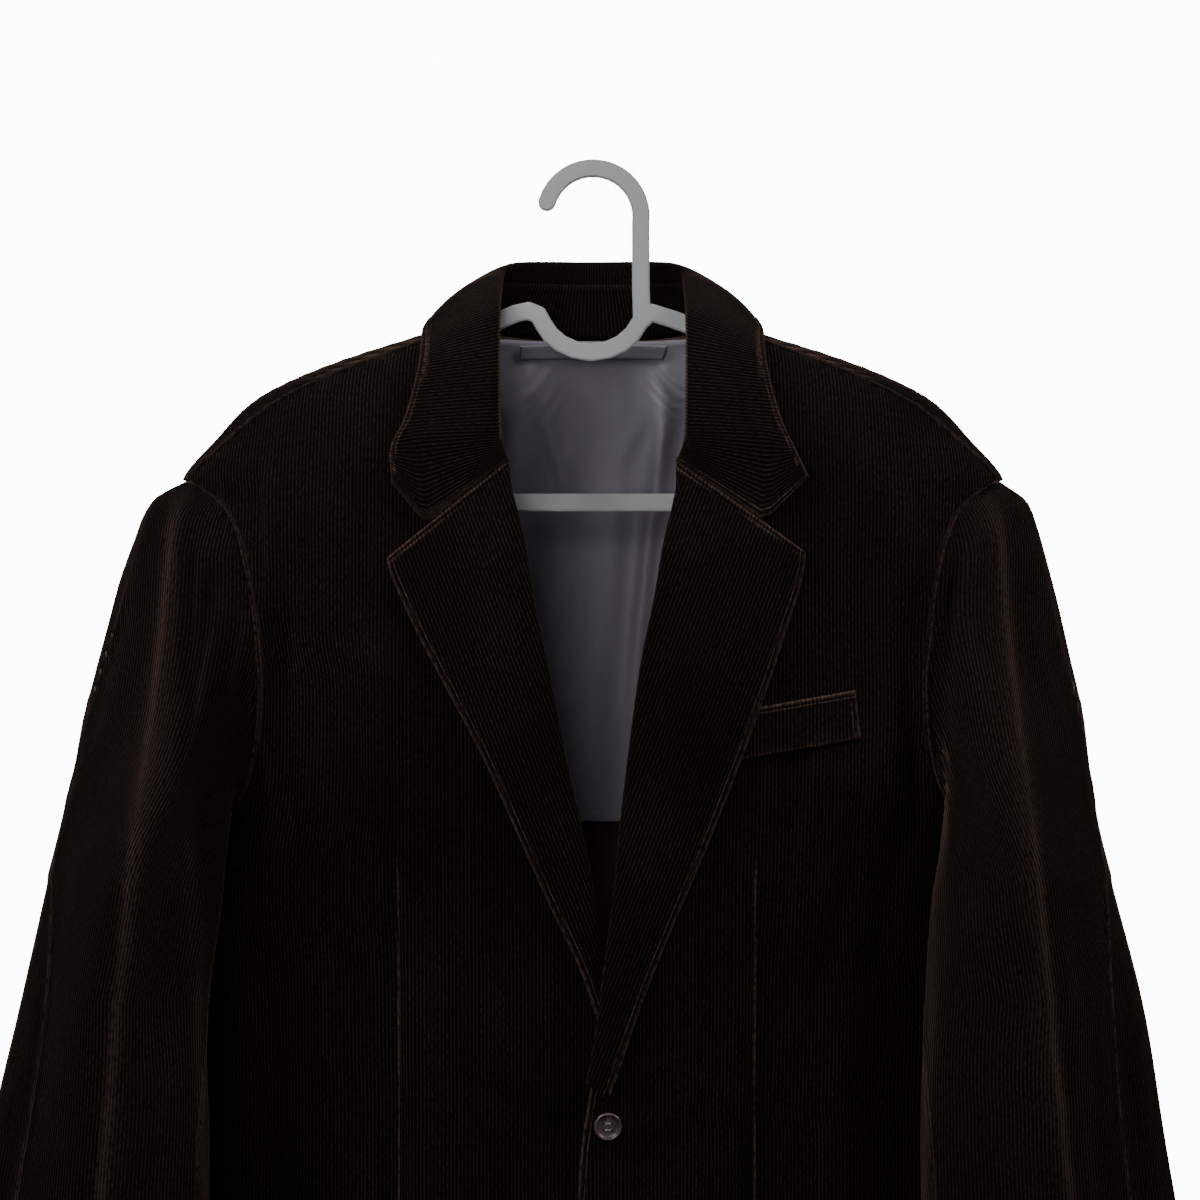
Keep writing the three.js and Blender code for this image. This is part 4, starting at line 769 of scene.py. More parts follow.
def back_panel(side):
    mirror = MIRROR[side]
    zs = [*BODY_LEVELS, *ARMHOLE_LEVELS, *SHOULDER_LEVELS, BACK_TOP_Z]

    def outer_angle(z):
        if z < ARMPIT_Z - 0.5:
            return 90 + HALF_GAP_ANGLE * 2
        if z > SHOULDER_Z:
            return float(shoulder_seam_angle(z)) + HALF_GAP_ANGLE * 4
        return 180 - float(angle_at(armhole_back(z), z))

    u = np.linspace(0, 1, DENSE)
    points = []
    for z in zs:
        to = spread(outer_angle, z)
        phi = mix(180 - HALF_GAP_ANGLE, to(u), u)
        bend = smooth(-160, BACK_TOP_Z, z)
        level = z + bend * (neck_z(phi) - neck_z(to(np.array(1.0))))
        points.append(body_point(phi * mirror, level))
    return np.array(zs), np.array(points)


def facing(points, away_from):
    """The grid's normals, turned away from a point, or from one point for each row."""
    normals = grid_normals(points)
    turned = np.sum(normals * (points - away_from), -1)
    return normals * (1 if turned.mean() > 0 else -1)


panels = {}
for side, mirror in MIRROR.items():
    zs, points = front_panel(side)
    normals = facing(points, BODY_MIDDLE)
    across = cumulative(points, 1)
    grain = across + np.abs(points[:, :1, 0]) * np.sign(points[:, :1, 0] * mirror)
    dart_x = DART["left_x"] if side == "left" else -DART["right_x"]
    off_dart = np.hypot(points[..., 0] - dart_x, np.maximum(points[..., 2] - DART["top"], 0) * 1.2)
    panels[side] = {"front": (zs, points, normals)}
    corduroy_piece(f"front_{side}", points, normals, grain, (FINISHED, SEWN, FINISHED, PLAIN), lines=off_dart)
    zs, points = back_panel(side)
    normals = facing(points, BODY_MIDDLE)
    panels[side]["back"] = (zs, points, normals)
    corduroy_piece(f"back_{side}", points, normals, cumulative(points, 1), (SEWN, SEWN, FINISHED, PLAIN))

# Sleeves: inner and outer edge seen from the front, foremost and hindmost depth, and how far the
# inner edge lies in front of the outer one
SLEEVE = {
    "left": table("z in_x out_x front back turn", [
        (UPPER_ARM_Z, 187, 293, -106, 34, 14),
        (-470, 184, 309, -108, 2, 16),
        (-540, 181, 319, -108, -18, 14),
        (-610, 183, 329, -108, -38, 10),
        (-700, 192, 338, -111, -54, 7),
        (CUFF_Z, 205, 346, -114, -68, 5),
    ]),
    "right": table("z in_x out_x front back turn", [
        (UPPER_ARM_Z, 204, 308, -106, 36, 14),
        (-470, 214, 322, -109, 12, 16),
        (-540, 212, 337, -110, -14, 14),
        (-610, 212, 350, -110, -36, 10),
        (-700, 221, 362, -112, -55, 7),
        (CUFF_Z, 232, 372, -115, -68, 5),
    ]),
}
sleeve_curves = {
    side: {k: through(rows, "z", k) for k in ("in_x", "out_x", "front", "back", "turn")}
    for side, rows in SLEEVE.items()
}
# Folds of each sleeve. A place round it is a share of a turn: 0 outside, 0.25 in front, 0.5 inside.
SLEEVE_FOLDS = {
    "left": table("top_z end_z top_at end_at settle height width", [
        (-190, -860, 0.1, 0.245, 90, 9, 0.065),
        (-230, -860, 0.07, 0.13, 90, -8, 0.055),
        (-215, -430, 0.3, 0.37, 110, -9, 0.06),
        (-420, -600, 0.82, 0.7, 90, -7, 0.07),
        (-290, -760, 0.72, 0.82, 150, 6, 0.08),
        (-236, -330, 0.25, 0.33, 60, -2.4, 0.022),
        (-262, -372, 0.34, 0.27, 60, 2.2, 0.02),
        (-300, -392, 0.36, 0.29, 50, -2.0, 0.018),
        (-205, -300, 0.02, 0.05, 90, -1.8, 0.03),
        (-420, -520, 0.3, 0.2, 70, -1.8, 0.025),
        (-520, -640, 0.2, 0.28, 80, -2.0, 0.03),
        (-610, -790, 0.32, 0.3, 90, 1.8, 0.028),
        (-640, -760, 0.08, 0.1, 90, 2.0, 0.03),
        (-240, -380, 0.9, 0.86, 90, -2.6, 0.035),
        (-560, -700, 0.9, 0.8, 90, -2.4, 0.03),
        (-640, -790, 0.7, 0.76, 90, 2.2, 0.035),
        (-330, -520, 0.62, 0.58, 90, -2.4, 0.03),
    ]),
    "right": table("top_z end_z top_at end_at settle height width", [
        (-190, -860, 0.1, 0.27, 90, 10, 0.065),
        (-230, -860, 0.08, 0.145, 90, -8, 0.055),
        (-205, -520, 0.29, 0.38, 120, -11, 0.065),
        (-430, -620, 0.8, 0.7, 90, -7, 0.07),
        (-290, -760, 0.7, 0.8, 150, 6, 0.08),
        (-244, -340, 0.25, 0.34, 60, -2.4, 0.022),
        (-276, -384, 0.35, 0.28, 60, 2.2, 0.02),
        (-330, -430, 0.36, 0.3, 50, -2.2, 0.02),
        (-210, -290, 0.03, 0.06, 90, -1.8, 0.03),
        (-430, -560, 0.06, 0.08, 70, 2.0, 0.025),
        (-470, -610, 0.34, 0.26, 70, -2.0, 0.026),
        (-600, -780, 0.32, 0.31, 90, 1.8, 0.03),
        (-650, -770, 0.1, 0.08, 90, 2.0, 0.03),
        (-250, -390, 0.88, 0.85, 90, -2.6, 0.035),
        (-570, -690, 0.88, 0.8, 90, -2.4, 0.03),
        (-650, -790, 0.7, 0.78, 90, 2.2, 0.035),
        (-340, -540, 0.62, 0.58, 90, -2.4, 0.03),
    ]),
}
OUTLINE = {
    "left": table("z x", [
        (-173, 231.5), (-178, 234.5), (-192, 239.5), (-212, 247), (-237, 255.5),
        (-270, 265), (-301, 274), (-335, 280.5), (-369, 286), (UPPER_ARM_Z, 294),
    ]),
    "right": table("z x", [
        (-173, 233), (-178, 240), (-192, 249), (-205, 253), (-231, 262.5), (-256, 270),
        (-276, 276.5), (-310, 287), (-350, 296.5), (UPPER_ARM_Z, 309),
    ]),
}
INSEAM_AT = 0.44
HEAD_GAP = -0.15
ELBOW_SEAM = table("z at", [
    (-175, 0.84), (-250, 0.9), (-330, 0.99), (-400, 1.07), (-460, 1.12), (-540, 1.145),
    (CUFF_Z, 1.15),
])
elbow_at = through(ELBOW_SEAM, "z", "at")
HEAD_LEVELS = [-174.6, *ARMHOLE_LEVELS[::-1], -384, -390, -396]
ARM_LEVELS = levels(CUFF_Z, UPPER_ARM_Z)[::-1]
# Sharper creases seen on the front of each sleeve, at their own x
SLEEVE_CREASES = {
    "left": table("x1 z1 x2 z2 x3 z3 height left right", [
        (213, -196, 209, -240, 203, -310, 5, 3.4, 9),
        (262, -390, 272, -500, 284, -640, -5, 8, 8),
        (203, -205, 196, -240, 186, -285, 3.5, 4, 3),
        (198, -234, 190, -272, 180, -315, 3.5, 4, 3),
        (212, -380, 216, -480, 224, -640, -3, 12, 8),
        (232, -330, 240, -440, 250, -600, 3, 10, 6),
        (262, -212, 270, -262, 278, -320, -3, 6, 7),
        (292, -380, 300, -450, 308, -560, 3, 9, 5),
        (296, -560, 306, -650, 320, -760, 4, 9, 5),
    ]),
    "right": table("x1 z1 x2 z2 x3 z3 height left right", [
        (-205, -232, -214, -290, -222, -356, 7, 3.2, 9),
        (-189, -244, -197, -284, -206, -330, 3.5, 3, 4),
        (-187, -270, -192, -315, -198, -362, 3, 3, 4),
        (-216, -200, -219, -240, -221, -290, 4, 3.2, 5),
        (-286, -320, -300, -450, -320, -620, -4, 9, 7),
        (-238, -430, -240, -540, -246, -680, -2.5, 12, 9),
        (-302, -400, -309, -500, -318, -640, 4, 7, 7),
        (-262, -214, -272, -262, -282, -322, -3, 7, 6),
    ]),
}
# The fold that stands up along the front of each sleeve, between two curves
SLEEVE_TUBE = {
    "left": {"low": (203, -240, 186, -367, 176, -568), "high": (228, -190, 238.6, -364, 259, -568)},
    "right": {"low": (-236, -191, -247, -350, -266, -570), "high": (-230, -191, -222, -362, -205, -568)},
}
TUBE_HEIGHT = 13
TUBE_EDGE = 10  # how wide each of its flanks is
# Painted sheen of the standing fold: faint over all of it, strongest in a band along its outer flank
TUBE_SHEEN = {"all": 0.03, "edge": 16, "flank": 0.09, "flank_width": 7}


def on_tube(side, x, z, edge):
    tube = SLEEVE_TUBE[side]
    inside = smooth(-edge / 2, edge / 2, x - bent_line(z, *tube["low"]))
    inside = inside * smooth(-edge / 2, edge / 2, bent_line(z, *tube["high"]) - x)
    return inside * smooth(-177, -205, z)


def tube_lift(side, x, z):
    return TUBE_HEIGHT * on_tube(side, x, z, TUBE_EDGE) * mix(1, 0.45, smooth(-520, CUFF_Z, z))


def tube_painted_sheen(side, points):
    """Painted sheen on the fold that stands up, faint over all of it and strongest along its outer flank,
    given as wear values.
    """
    x, z = points[..., 0], points[..., 2]
    outer = SLEEVE_TUBE[side]["high" if side == "left" else "low"]
    off = (x - bent_line(z, *outer)) / TUBE_SHEEN["flank_width"]
    flank = np.exp(-(off**2)) * smooth(-177, -205, z)
    wear = TUBE_SHEEN["all"] * on_tube(side, x, z, TUBE_SHEEN["edge"]) + TUBE_SHEEN["flank"] * flank
    return np.where(points[..., 1] < 0, wear, 0)


def sleeve_fold(side, at, z):
    total = 0
    for top_z, end_z, top_at, end_at, settle, height, width in zip(*SLEEVE_FOLDS[side].values()):
        along = (top_z - z) / (top_z - end_z)
        middle = mix(end_at, top_at, np.exp(np.minimum(z - top_z, 0) / settle))
        off = np.abs(at - middle) % 1
        off = np.minimum(off, 1 - off) / width
        fade = smooth(0, 0.15, along) * smooth(1, 0.8, along) * (along > 0) * (along < 1)
        total = total + height * fade * np.exp(-off * off)
    return total


CLEAR_ROUNDS = 3
CLEAR_SHARPNESS = 40  # how sharply points stop at the clearance


def clear_of_body(p, clearance):
    """Moves points out of the body and its clearance, straight away from the middle."""
    p = p.copy()
    for _ in range(CLEAR_ROUNDS):
        depth = np.where(p[..., 1] < 0, body_front(p[..., 2]), body_back(p[..., 2])) + clearance
        across = (p[..., 0] / (body_half(p[..., 2]) + clearance)) ** 2
        reach = np.sqrt(across + np.abs(p[..., 1] / depth) ** (2 / SIDE_ROUNDNESS))
        reach = np.maximum(reach, 1e-6)
        wanted = (1 + np.minimum(reach, 50) ** CLEAR_SHARPNESS) ** (1 / CLEAR_SHARPNESS)
        p[..., :2] *= (wanted / reach)[..., None]
    return p


def ring_at(at, z):
    return at + 0.13 * smooth(-560, UPPER_ARM_Z, z) * np.sin(at * np.pi) ** 2


def sleeve_point(side, place, z):
    c = sleeve_curves[side]
    at = ring_at(place, z)
    turn = at * 2 * np.pi
    half_x = (c["out_x"](z) - c["in_x"](z)) / 2
    half_y = (c["back"](z) - c["front"](z)) / 2
    fold = sleeve_fold(side, at, z)
    x = (c["out_x"](z) + c["in_x"](z)) / 2 + (half_x + fold * 0.25) * np.cos(turn)
    y = (c["back"](z) + c["front"](z)) / 2 - (half_y + fold) * np.sin(turn) + c["turn"](z) * np.cos(turn)
    return clear_of_body(xyz(x, y, z), SLEEVE_CLEARANCE)


def armhole_ring(side, mirror):
    """The armhole edges of both panels as one ring, from the shoulder down the front and up the back."""
    zs, points, normals = panels[side]["front"]
    picked = np.where((zs >= ARMPIT_Z) & (zs <= SHOULDER_LEVELS[0]))[0][::-1]
    edge, face = points[picked, -1], normals[picked, -1]
    bottom = len(picked) - 1
    zs, points, normals = panels[side]["back"]
    picked = np.where((zs > ARMPIT_Z) & (zs < SHOULDER_Z))[0]
    edge = np.concatenate([edge, points[picked, -1]])
    face = np.concatenate([face, normals[picked, -1]])
    turned = np.array([mirror, 1, 1])
    return edge * turned, face * turned, bottom


ARMHOLE_MIDDLE = np.array([236, -2, -285])
HEAD_TURNS = np.linspace(-0.62, 0.62, 893)  # shares of a turn, past the under seam on both sides
HEAD_WAYS = [0, 0.004, 0.01, 0.02, *np.linspace(0.035, 1, 70)]  # from the armhole to the upper arm
HEAD_PULL = {"armhole": 0.3, "arm": 0.6}  # how far each end's direction carries into the head
LEAST_WIDTH = 0.004  # a row of a panel narrower than this share of a turn is left out


def sleeve(side, mirror):
    edge, face, bottom = armhole_ring(side, mirror)
    lengths = np.linalg.norm(np.roll(edge, -1, 0) - edge, axis=1)
    gone = np.concatenate([[0], np.cumsum(lengths)])
    front_length, back_length = gone[bottom], gone[-1] - gone[bottom]
    places = np.where(
        np.arange(len(edge)) <= bottom,
        0.5 * gone[:-1] / front_length,
        0.5 + 0.5 * (gone[:-1] - gone[bottom]) / back_length,
    )
    along = np.roll(edge, -1, 0) - np.roll(edge, 1, 0)
    leave = unit(np.cross(face, along))
    leave *= np.where(np.sum(leave * (ARMHOLE_MIDDLE - edge), -1) > 0, 1, -1)[:, None]

    def sample(ring, at):
        return np.stack([np.interp(at % 1, places, ring[:, k], period=1) for k in range(3)], -1)

    def head(at, w):
        leaving = unit(sample(leave, at))
        start = sample(edge, at) + leaving * HEAD_GAP
        end = sleeve_point(side, at, UPPER_ARM_Z + 0 * at)
        after = sleeve_point(side, at, UPPER_ARM_Z - 20 + 0 * at)
        reach = np.linalg.norm(end - start, axis=-1, keepdims=True)
        first = start * (2 * w**3 - 3 * w**2 + 1) + end * (3 * w**2 - 2 * w**3)
        pull = leaving * (w**3 - 2 * w**2 + w) * HEAD_PULL["armhole"]
        return first + (pull + unit(after - end) * (w**3 - w**2) * HEAD_PULL["arm"]) * reach

    outline = through(OUTLINE[side], "z", "x")
    plain_points = np.array([head(np.zeros(1), w)[0] for w in np.linspace(0, 1, 17)])
    plain = through({"z": plain_points[:, 2], "x": plain_points[:, 0]}, "z", "x")

    def head_point(at, w):
        p = head(at, w)
        if w in (0, 1):
            return p
        turned = ring_at(at, p[..., 2])
        turn = turned * 2 * np.pi
        shift = (outline(p[..., 2]) - plain(p[..., 2])) * smooth(-0.1, 0.9, np.cos(turn))
        p[..., 0] += shift * smooth(0, 0.1, w)
        fold = sleeve_fold(side, turned, p[..., 2]) * np.sin(turn)
        p[..., 1] -= fold * smooth(0, 0.5, w) * (1 - smooth(0, 1, w))
        return mix(p, clear_of_body(p, SLEEVE_CLEARANCE * smooth(0, 0.3, w)), smooth(0, 0.14, w))

    turns = HEAD_TURNS
    head_grid = np.array([head_point(turns, w) for w in HEAD_WAYS])
    falling = np.minimum.accumulate(head_grid[..., 2], 0)
    behind = (turns >= -0.5) & (turns <= 0)
    ahead = (turns >= 0) & (turns <= 0.5)

    def armhole_at(z):
        """Where the armhole's back and front edges are at a level, as shares of a turn."""
        back = np.interp(z, head_grid[0, behind, 2], turns[behind])
        front = np.interp(-z, -head_grid[0, ahead, 2], turns[ahead])
        return float(back), float(front)

    def section(z, at):
        """The sleeve's surface round one level."""
        if z <= UPPER_ARM_Z:
            return sleeve_point(side, at, z + 0 * at)
        level = np.array([
            [np.interp(-z, -falling[:, i], head_grid[:, i, k]) for k in range(3)] for i in range(len(turns))
        ])
        return np.stack([np.interp(at, turns, level[:, k]) for k in range(3)], -1)

    def top_limits(z):
        elbow = float(elbow_at(z)) - 1
        if z > ARMPIT_Z:
            back, front = armhole_at(z)
            return max(elbow, back), front
        return elbow, mix(0.5, INSEAM_AT, float(smooth(ARMPIT_Z, -430, z)))

    def under_limits(z):
        elbow = float(elbow_at(z)) - 1
        if z > ARMPIT_Z:
            return armhole_at(z)[0], elbow
        return mix(0.5, INSEAM_AT, float(smooth(ARMPIT_Z, -430, z))) - 1, elbow

    u = np.linspace(0, 1, DENSE)
    for name, limits in ((f"top_sleeve_{side}", top_limits), (f"under_sleeve_{side}", under_limits)):
        points = []
        grain = []
        from_armhole = []
        for z in [*HEAD_LEVELS, *ARM_LEVELS]:
            low, high = limits(z)
            if high - low < LEAST_WIDTH:
                continue
            at = mix(low, high, u)
            row = section(z, at)
            row[:, 2] = z
            if z > ARMPIT_Z:
                back, front = armhole_at(z)
                for end, place in ((0, back), (-1, front)):
                    if at[end] == place:
                        row[end] = sample(edge, np.array(place))
            arc = cumulative(row[None], 1)[0]
            points.append(row)
            from_armhole.append(arc[-1] - arc)
            straight = 0.12 * float(smooth(-180, -340, z)) if "top" in name else high
            grain.append(arc - np.interp(straight, at, arc))
        points = np.array(points) * np.array([mirror, 1, 1])
        from_armhole = np.array(from_armhole)
        centres = np.zeros((len(points), 1, 3))
        centres[:, 0, 0] = mirror * mix(150, 262, smooth(-300, -420, points[:, 0, 2]))
        centres[:, 0, 1] = mix(0, -50, smooth(-300, -600, points[:, 0, 2]))
        centres[:, 0, 2] = points[:, 0, 2]
        normals = facing(points, centres)
        shown = smooth(0.05, 0.55, -normals[..., 1])
        free = mix(1, smooth(0.5, 10, from_armhole), smooth(-396, ARMPIT_Z, points[..., 2]))
        lift = crease_lift(SLEEVE_CREASES[side], points[..., 0], points[..., 2])
        lift = lift + tube_lift(side, points[..., 0], points[..., 2])
        points[..., 1] -= lift * shown * free
        normals = facing(points, centres)
        # Painted sheen along the standing fold, passed in as wear values
        fold_sheen = tube_painted_sheen(side, points)
        corduroy_piece(name, points, normals, np.array(grain), (SEWN, SEWN, PLAIN, FINISHED), painted_fold_sheen=fold_sheen)


for side, mirror in MIRROR.items():
    sleeve(side, mirror)

# Lapels: a row across each runs from the roll line at that level to a point of its outer edge
LAPEL = {
    "left": table("row roll_z edge_x edge_z", [
        (0, NECK_SEAM_Z, 118, -215),
        (1, -178, 117.5, -222),
        (2, -196, 114.5, -236),
        (3, -228, 105.5, -263),
        (4, -268, 93.5, -299),
        (5, -314, 77, -343),
        (6, -358, 60.5, -384),
        (7, -402, 44, -422),
        (8, -442, 29, -459),
        (9, -480, 17.5, -492),
        (10, -510, 8.5, -518),
    ]),
    "right": table("row roll_z edge_x edge_z", [
        (0, NECK_SEAM_Z, 114, -218),
        (1, -176, 112.5, -226),
        (2, -192, 106.5, -240),
        (3, -220, 95, -264),
        (4, -256, 79, -294),
        (5, -298, 60, -330),
        (6, -342, 41.5, -371),
        (7, -386, 24, -410),
        (8, -430, 6.5, -447),
        (9, -470, -5, -482),
        (10, -505, -12, -512),
    ]),
}
ROLL_GAP = 0.5
FLAP_RISE = 2.8
FLAP_RISE_WIDTH = 30
BELLY = 3
LAPEL_SLANT = math.radians(21.5)  # of its wales, which follow its outer edge
LAPEL_COLUMNS = 110
LAPEL_FOLD_COLUMNS = 25  # points round the fold from behind the front panel's edge
LAPEL_WALL = CLOTH - 0.2


def front_out(normals, row, column):
    """Normals, all turned over if the one at this row and column points to the back."""
    return normals * (1 if normals[row, column, 1] < 0 else -1)


def flap_lift(from_fold, share):
    rise = FLAP_RISE * smooth(0, FLAP_RISE_WIDTH, from_fold)
    return ROLL_GAP + CLOTH + 0.2 + rise + BELLY * np.sin(share * np.pi) ** 2


def lapel(side, mirror):
    rows = LAPEL[side]
    curves = {k: through(rows, "row", k) for k in ("roll_z", "edge_x", "edge_z")}
    ends = FINISHED["off"][:-1] / 12
    picks = np.concatenate([ends, np.linspace(0.5, 10, 58)])
    points = []
    t = np.linspace(0, 1, LAPEL_COLUMNS)
    for row in picks:
        roll_z, edge_x, edge_z = (float(curves[k](row)) for k in ("roll_z", "edge_x", "edge_z"))
        roll_x = float(front_edge(side, roll_z))
        width = math.hypot(edge_x - roll_x, edge_z - roll_z)
        belly = smooth(8, 60, width)
        x, z = mix(roll_x, edge_x, t), mix(roll_z, edge_z, t)
        under = overlap_lift(x, z) if side == "left" else 0
        swell = flap_lift(t * width, t) - (1 - belly) * BELLY * np.sin(t * np.pi) ** 2
        face = xyz(x * mirror, front_y(x * mirror, z, under + swell), z)
        turn = np.linspace(-math.pi / 2, math.pi / 2, LAPEL_FOLD_COLUMNS + 1)[:-1, None]
        ahead = unit(face[3] - face[0])
        deep = np.array([0, 1, 0])
        fold = face[0] + deep * ROLL_RADIUS - ahead * 0.3
        bent = fold - (ahead * np.cos(turn) + deep * np.sin(turn)) * ROLL_RADIUS
        points.append(np.concatenate([bent, face]))
    points = np.array(points)
    normals = front_out(facing(points, points.mean((0, 1)) + np.array([0, 60, 0])), 30, 80)
    slanted = points[..., 0] * mirror * math.cos(LAPEL_SLANT) - points[..., 2] * math.sin(LAPEL_SLANT)
    start = LAPEL_FOLD_COLUMNS
    grain = slanted.copy()
    arcs = cumulative(points, 1)
    grain[:, :start] = slanted[:, start:start + 1] - (arcs[:, start:start + 1] - arcs[:, :start])
    grain = np.maximum.accumulate(grain, 1) + np.linspace(0, 0.01, grain.shape[1])
    edges = (PLAIN, FINISHED, FINISHED, PLAIN)
    corduroy_piece(f"lapel_{side}", points, normals, grain, edges, wall=LAPEL_WALL)


lapel("left", 1)
lapel("right", -1)

# Collar: the crest of its fold and the edge that lies on the body, at each angle round the neck
COLLAR = table("phi x y z at edge_z", [
    (12.5, 49.5, -66, -165.2, 29.5, -173),
    (16, 51, -61.5, -140, 29, -145.5),
    (22, 51.5, -53.6, -113, 32, -120),
    (36, 51.5, -33.4, -81, 45, -101.5),
    (60, 51, -8, -64, 70, -91),
    (90, 50.5, 12, -54, 92, -88),
    (120, 46.5, 30, -47, 121, -89.5),
    (145, 34, 41, -44.5, 147, -92.5),
    (162, 18, 46, -44, 164, -94.5),
    (180, 0, 47.5, -44, 180, -95.5),
])
COLLAR_ANGLES = [14.2, 16.4, 20, 26, 36, 50, 70, 90, 112, 135, 158]
STAND_GAP = 1.2
SEAM_SHARE = 0.3
NOTCH_STEP = 0.78
COLLAR_STEPS = (0, 0.1, 0.3, 0.5, 0.68, 0.76, NOTCH_STEP, 0.8, 0.9, 1)  # across the fall
NOTCH_SHARE = 0.66  # of the lapel's top edge, where the notch is
TIP = {"left": (120.5, -173), "right": (112, -176.5)}
crest = {k: through(COLLAR, "phi", k) for k in ("x", "y", "z", "at", "edge_z")}


def collar_row(phi):
    fold = np.array([crest[k](phi) for k in ("x", "y", "z")], float)
    lift = float(flap_lift(FLAP_RISE_WIDTH, 0)) + 0.4
    at, edge_z = float(crest["at"](phi)), float(crest["edge_z"](phi))
    edge = body_point(at, edge_z) + body_normal(at, edge_z) * lift
    across = edge - fold
    swell = unit(mix(np.array([0, -1, 0]), np.array([0.5, 0.6, 0.6]), smooth(20, 120, phi)))
    rise = mix(9.5, 9, smooth(20, 140, phi))
    level = float(neck_z(phi))
    foot = body_point(phi, level) - body_normal(phi, level) * CLOTH
    foot = foot + unit(fold - foot) * mix(2.2, STAND_GAP, smooth(22, 60, phi))
    seam = mix(fold, foot, mix(0.68, SEAM_SHARE, smooth(40, 115, phi)))
    points = [seam, mix(fold, seam, 0.45) + np.array([0, -0.6, 0.5])]
    for t in COLLAR_STEPS:
        p = fold + across * t + swell * rise * 2.2 * t**0.6 * (1 - t)
        z = min(p[2], -76)
        if z < -84 or phi < 40:
            p = clear_of_body(p, lift * smooth(0, 0.3, t) + 0.2)
        points.append(p)
    return foot, seam, np.array(points)


def gorge_row(side):
    """Beside the lapel's top edge as far as the notch, then up to the collar's tip."""
    rows = LAPEL[side]
    start = np.array([float(front_edge(side, rows["roll_z"][0])), rows["roll_z"][0]])
    across = np.array([rows["edge_x"][0], rows["edge_z"][0]]) - start
    width = math.hypot(*across)
    aside = np.array([-across[1], across[0]]) / width * SEAM_GAP
    points = []
    for t in COLLAR_STEPS:
        along = min(t / NOTCH_STEP, 1) * NOTCH_SHARE
        past = max(0, (t - NOTCH_STEP) / (1 - NOTCH_STEP))
        x, z = mix(start + across * along + aside, np.array(TIP[side]), past)
        lift = mix(flap_lift(along * width, along), flap_lift(40, 0), past)
        points.append([x, float(front_y(x if side == "left" else -x, z, lift)), z])
    fold = np.array(points[0])
    return np.array([fold + (-4, 4.4, 0.8), fold + (-2.9, 1.7, 0.5), *points])


def mirrored(points):
    return points * np.array([-1, 1, 1])


collar_rows = [collar_row(phi) for phi in COLLAR_ANGLES]
middle_row = collar_row(180)
fall = [gorge_row("left"), *[r[2] for r in collar_rows], middle_row[2]]
fall += [*[mirrored(r[2]) for r in collar_rows[::-1]], mirrored(gorge_row("right"))]
fall = refined(np.array(fall), 12, 5)
fall = fall.transpose(1, 0, 2)


FALL_ROWS = {"from": 8, "step": 4.5}  # of the collar fall, between the close rows at its edges


def with_close_rows(grid, offsets_first, offsets_last):
    """Rows of a grid at even distances, with more beside its first and last rows."""
    down = cumulative(grid, 0).mean(1)
    length = down[-1]
    even = np.linspace(FALL_ROWS["from"], length - FALL_ROWS["from"], max(2, int(length / FALL_ROWS["step"])))
    wanted = [*offsets_first, *even, *(length - offsets_last[::-1])]
    at = np.interp(wanted, down, np.arange(len(grid)))
    low = np.minimum(at.astype(int), len(grid) - 2)
    t = (at - low)[:, None, None]
    return grid[low] * (1 - t) + grid[low + 1] * t


fall = with_close_rows(fall, SEWN["off"], FINISHED["off"][:-1])
along_collar = cumulative(fall, 1)[len(fall) // 2]
fall_grain = np.broadcast_to(along_collar, fall.shape[:2])
normals = -front_out(facing(fall, np.array([0, 0, -150])), len(fall) - 3, fall.shape[1] // 2)
corduroy_piece("collar_fall", fall, normals, fall_grain, (FINISHED, FINISHED, PLAIN, FINISHED))

STAND_FROM = 2  # the collar stand starts at this row, past the gorge


def stand_row(row):
    foot, seam, _ = row
    length = np.linalg.norm(seam - foot)
    return np.array([mix(foot, seam, t) for t in (0, 0.5, (length - SEAM_GAP) / length)])


stand = [stand_row(r) for r in collar_rows[STAND_FROM:]]
stand = [*stand, stand_row(middle_row), *[mirrored(r) for r in stand[::-1]]]
stand = refined(np.array(stand), 12, 6).transpose(1, 0, 2)
stand_grain = np.broadcast_to(cumulative(stand, 1)[6], stand.shape[:2])
normals = front_out(facing(stand, np.array([0, 200, -80])), 6, stand.shape[1] // 2)
corduroy_piece("collar_stand", stand, normals, stand_grain, (SEWN, SEWN, PLAIN, SEWN), wall=LAPEL_WALL)

# Back lining, a curtain from the neck seam to its stitched hem
LINING_HEM_Z = -372
LINING_STITCH_Z = -365.5
LINING_TOP_Z = -93.5
STITCH_GROOVE = 0.35
STITCH_GROOVE_WIDTH = 0.9
HEM_RISE = 0.5  # of its doubled hem
LINING_WALL = 0.9
LINING_RISE = 3.5  # of its top edge over the neck seam
LINING_INSIDE = 5.7  # how far its inner face lies inside the body's surface
LINING_FOLDS = table("top_x top_z end_x end_z depth width", [
    (47, -99, 20, -330, 4.2, 4.5),
    (43, -99, 37, -180, 3, 3.2),
    (-40, -100, -12, -190, 3.4, 4.2),
    (-46, -100, -62, -330, 4, 12),
    (6, -170, -3, -372, 3, 12),
    (96, -130, 110, -372, 4, 14),
    (-104, -140, -120, -372, 4, 14),
    (46, -101, 28, -250, 1.8, 3),
    (45, -103, 12, -170, 1.5, 3.5),
    (44, -106, 41, -300, 1.3, 4),
    (-42, -103, -24, -260, 1.6, 4),
    (-43, -104, -4, -150, 1.2, 3),
    (-45, -105, -44, -300, 1.5, 6),
    (18, -110, 10, -300, 1.2, 6),
    (-14, -130, -20, -372, 1.3, 7),
    (58, -160, 54, -372, 2.2, 8),
    (-78, -180, -84, -372, 2.0, 9),
    (30, -300, 32, -372, 1.2, 5),
    (-38, -310, -34, -372, 1.4, 5),
])


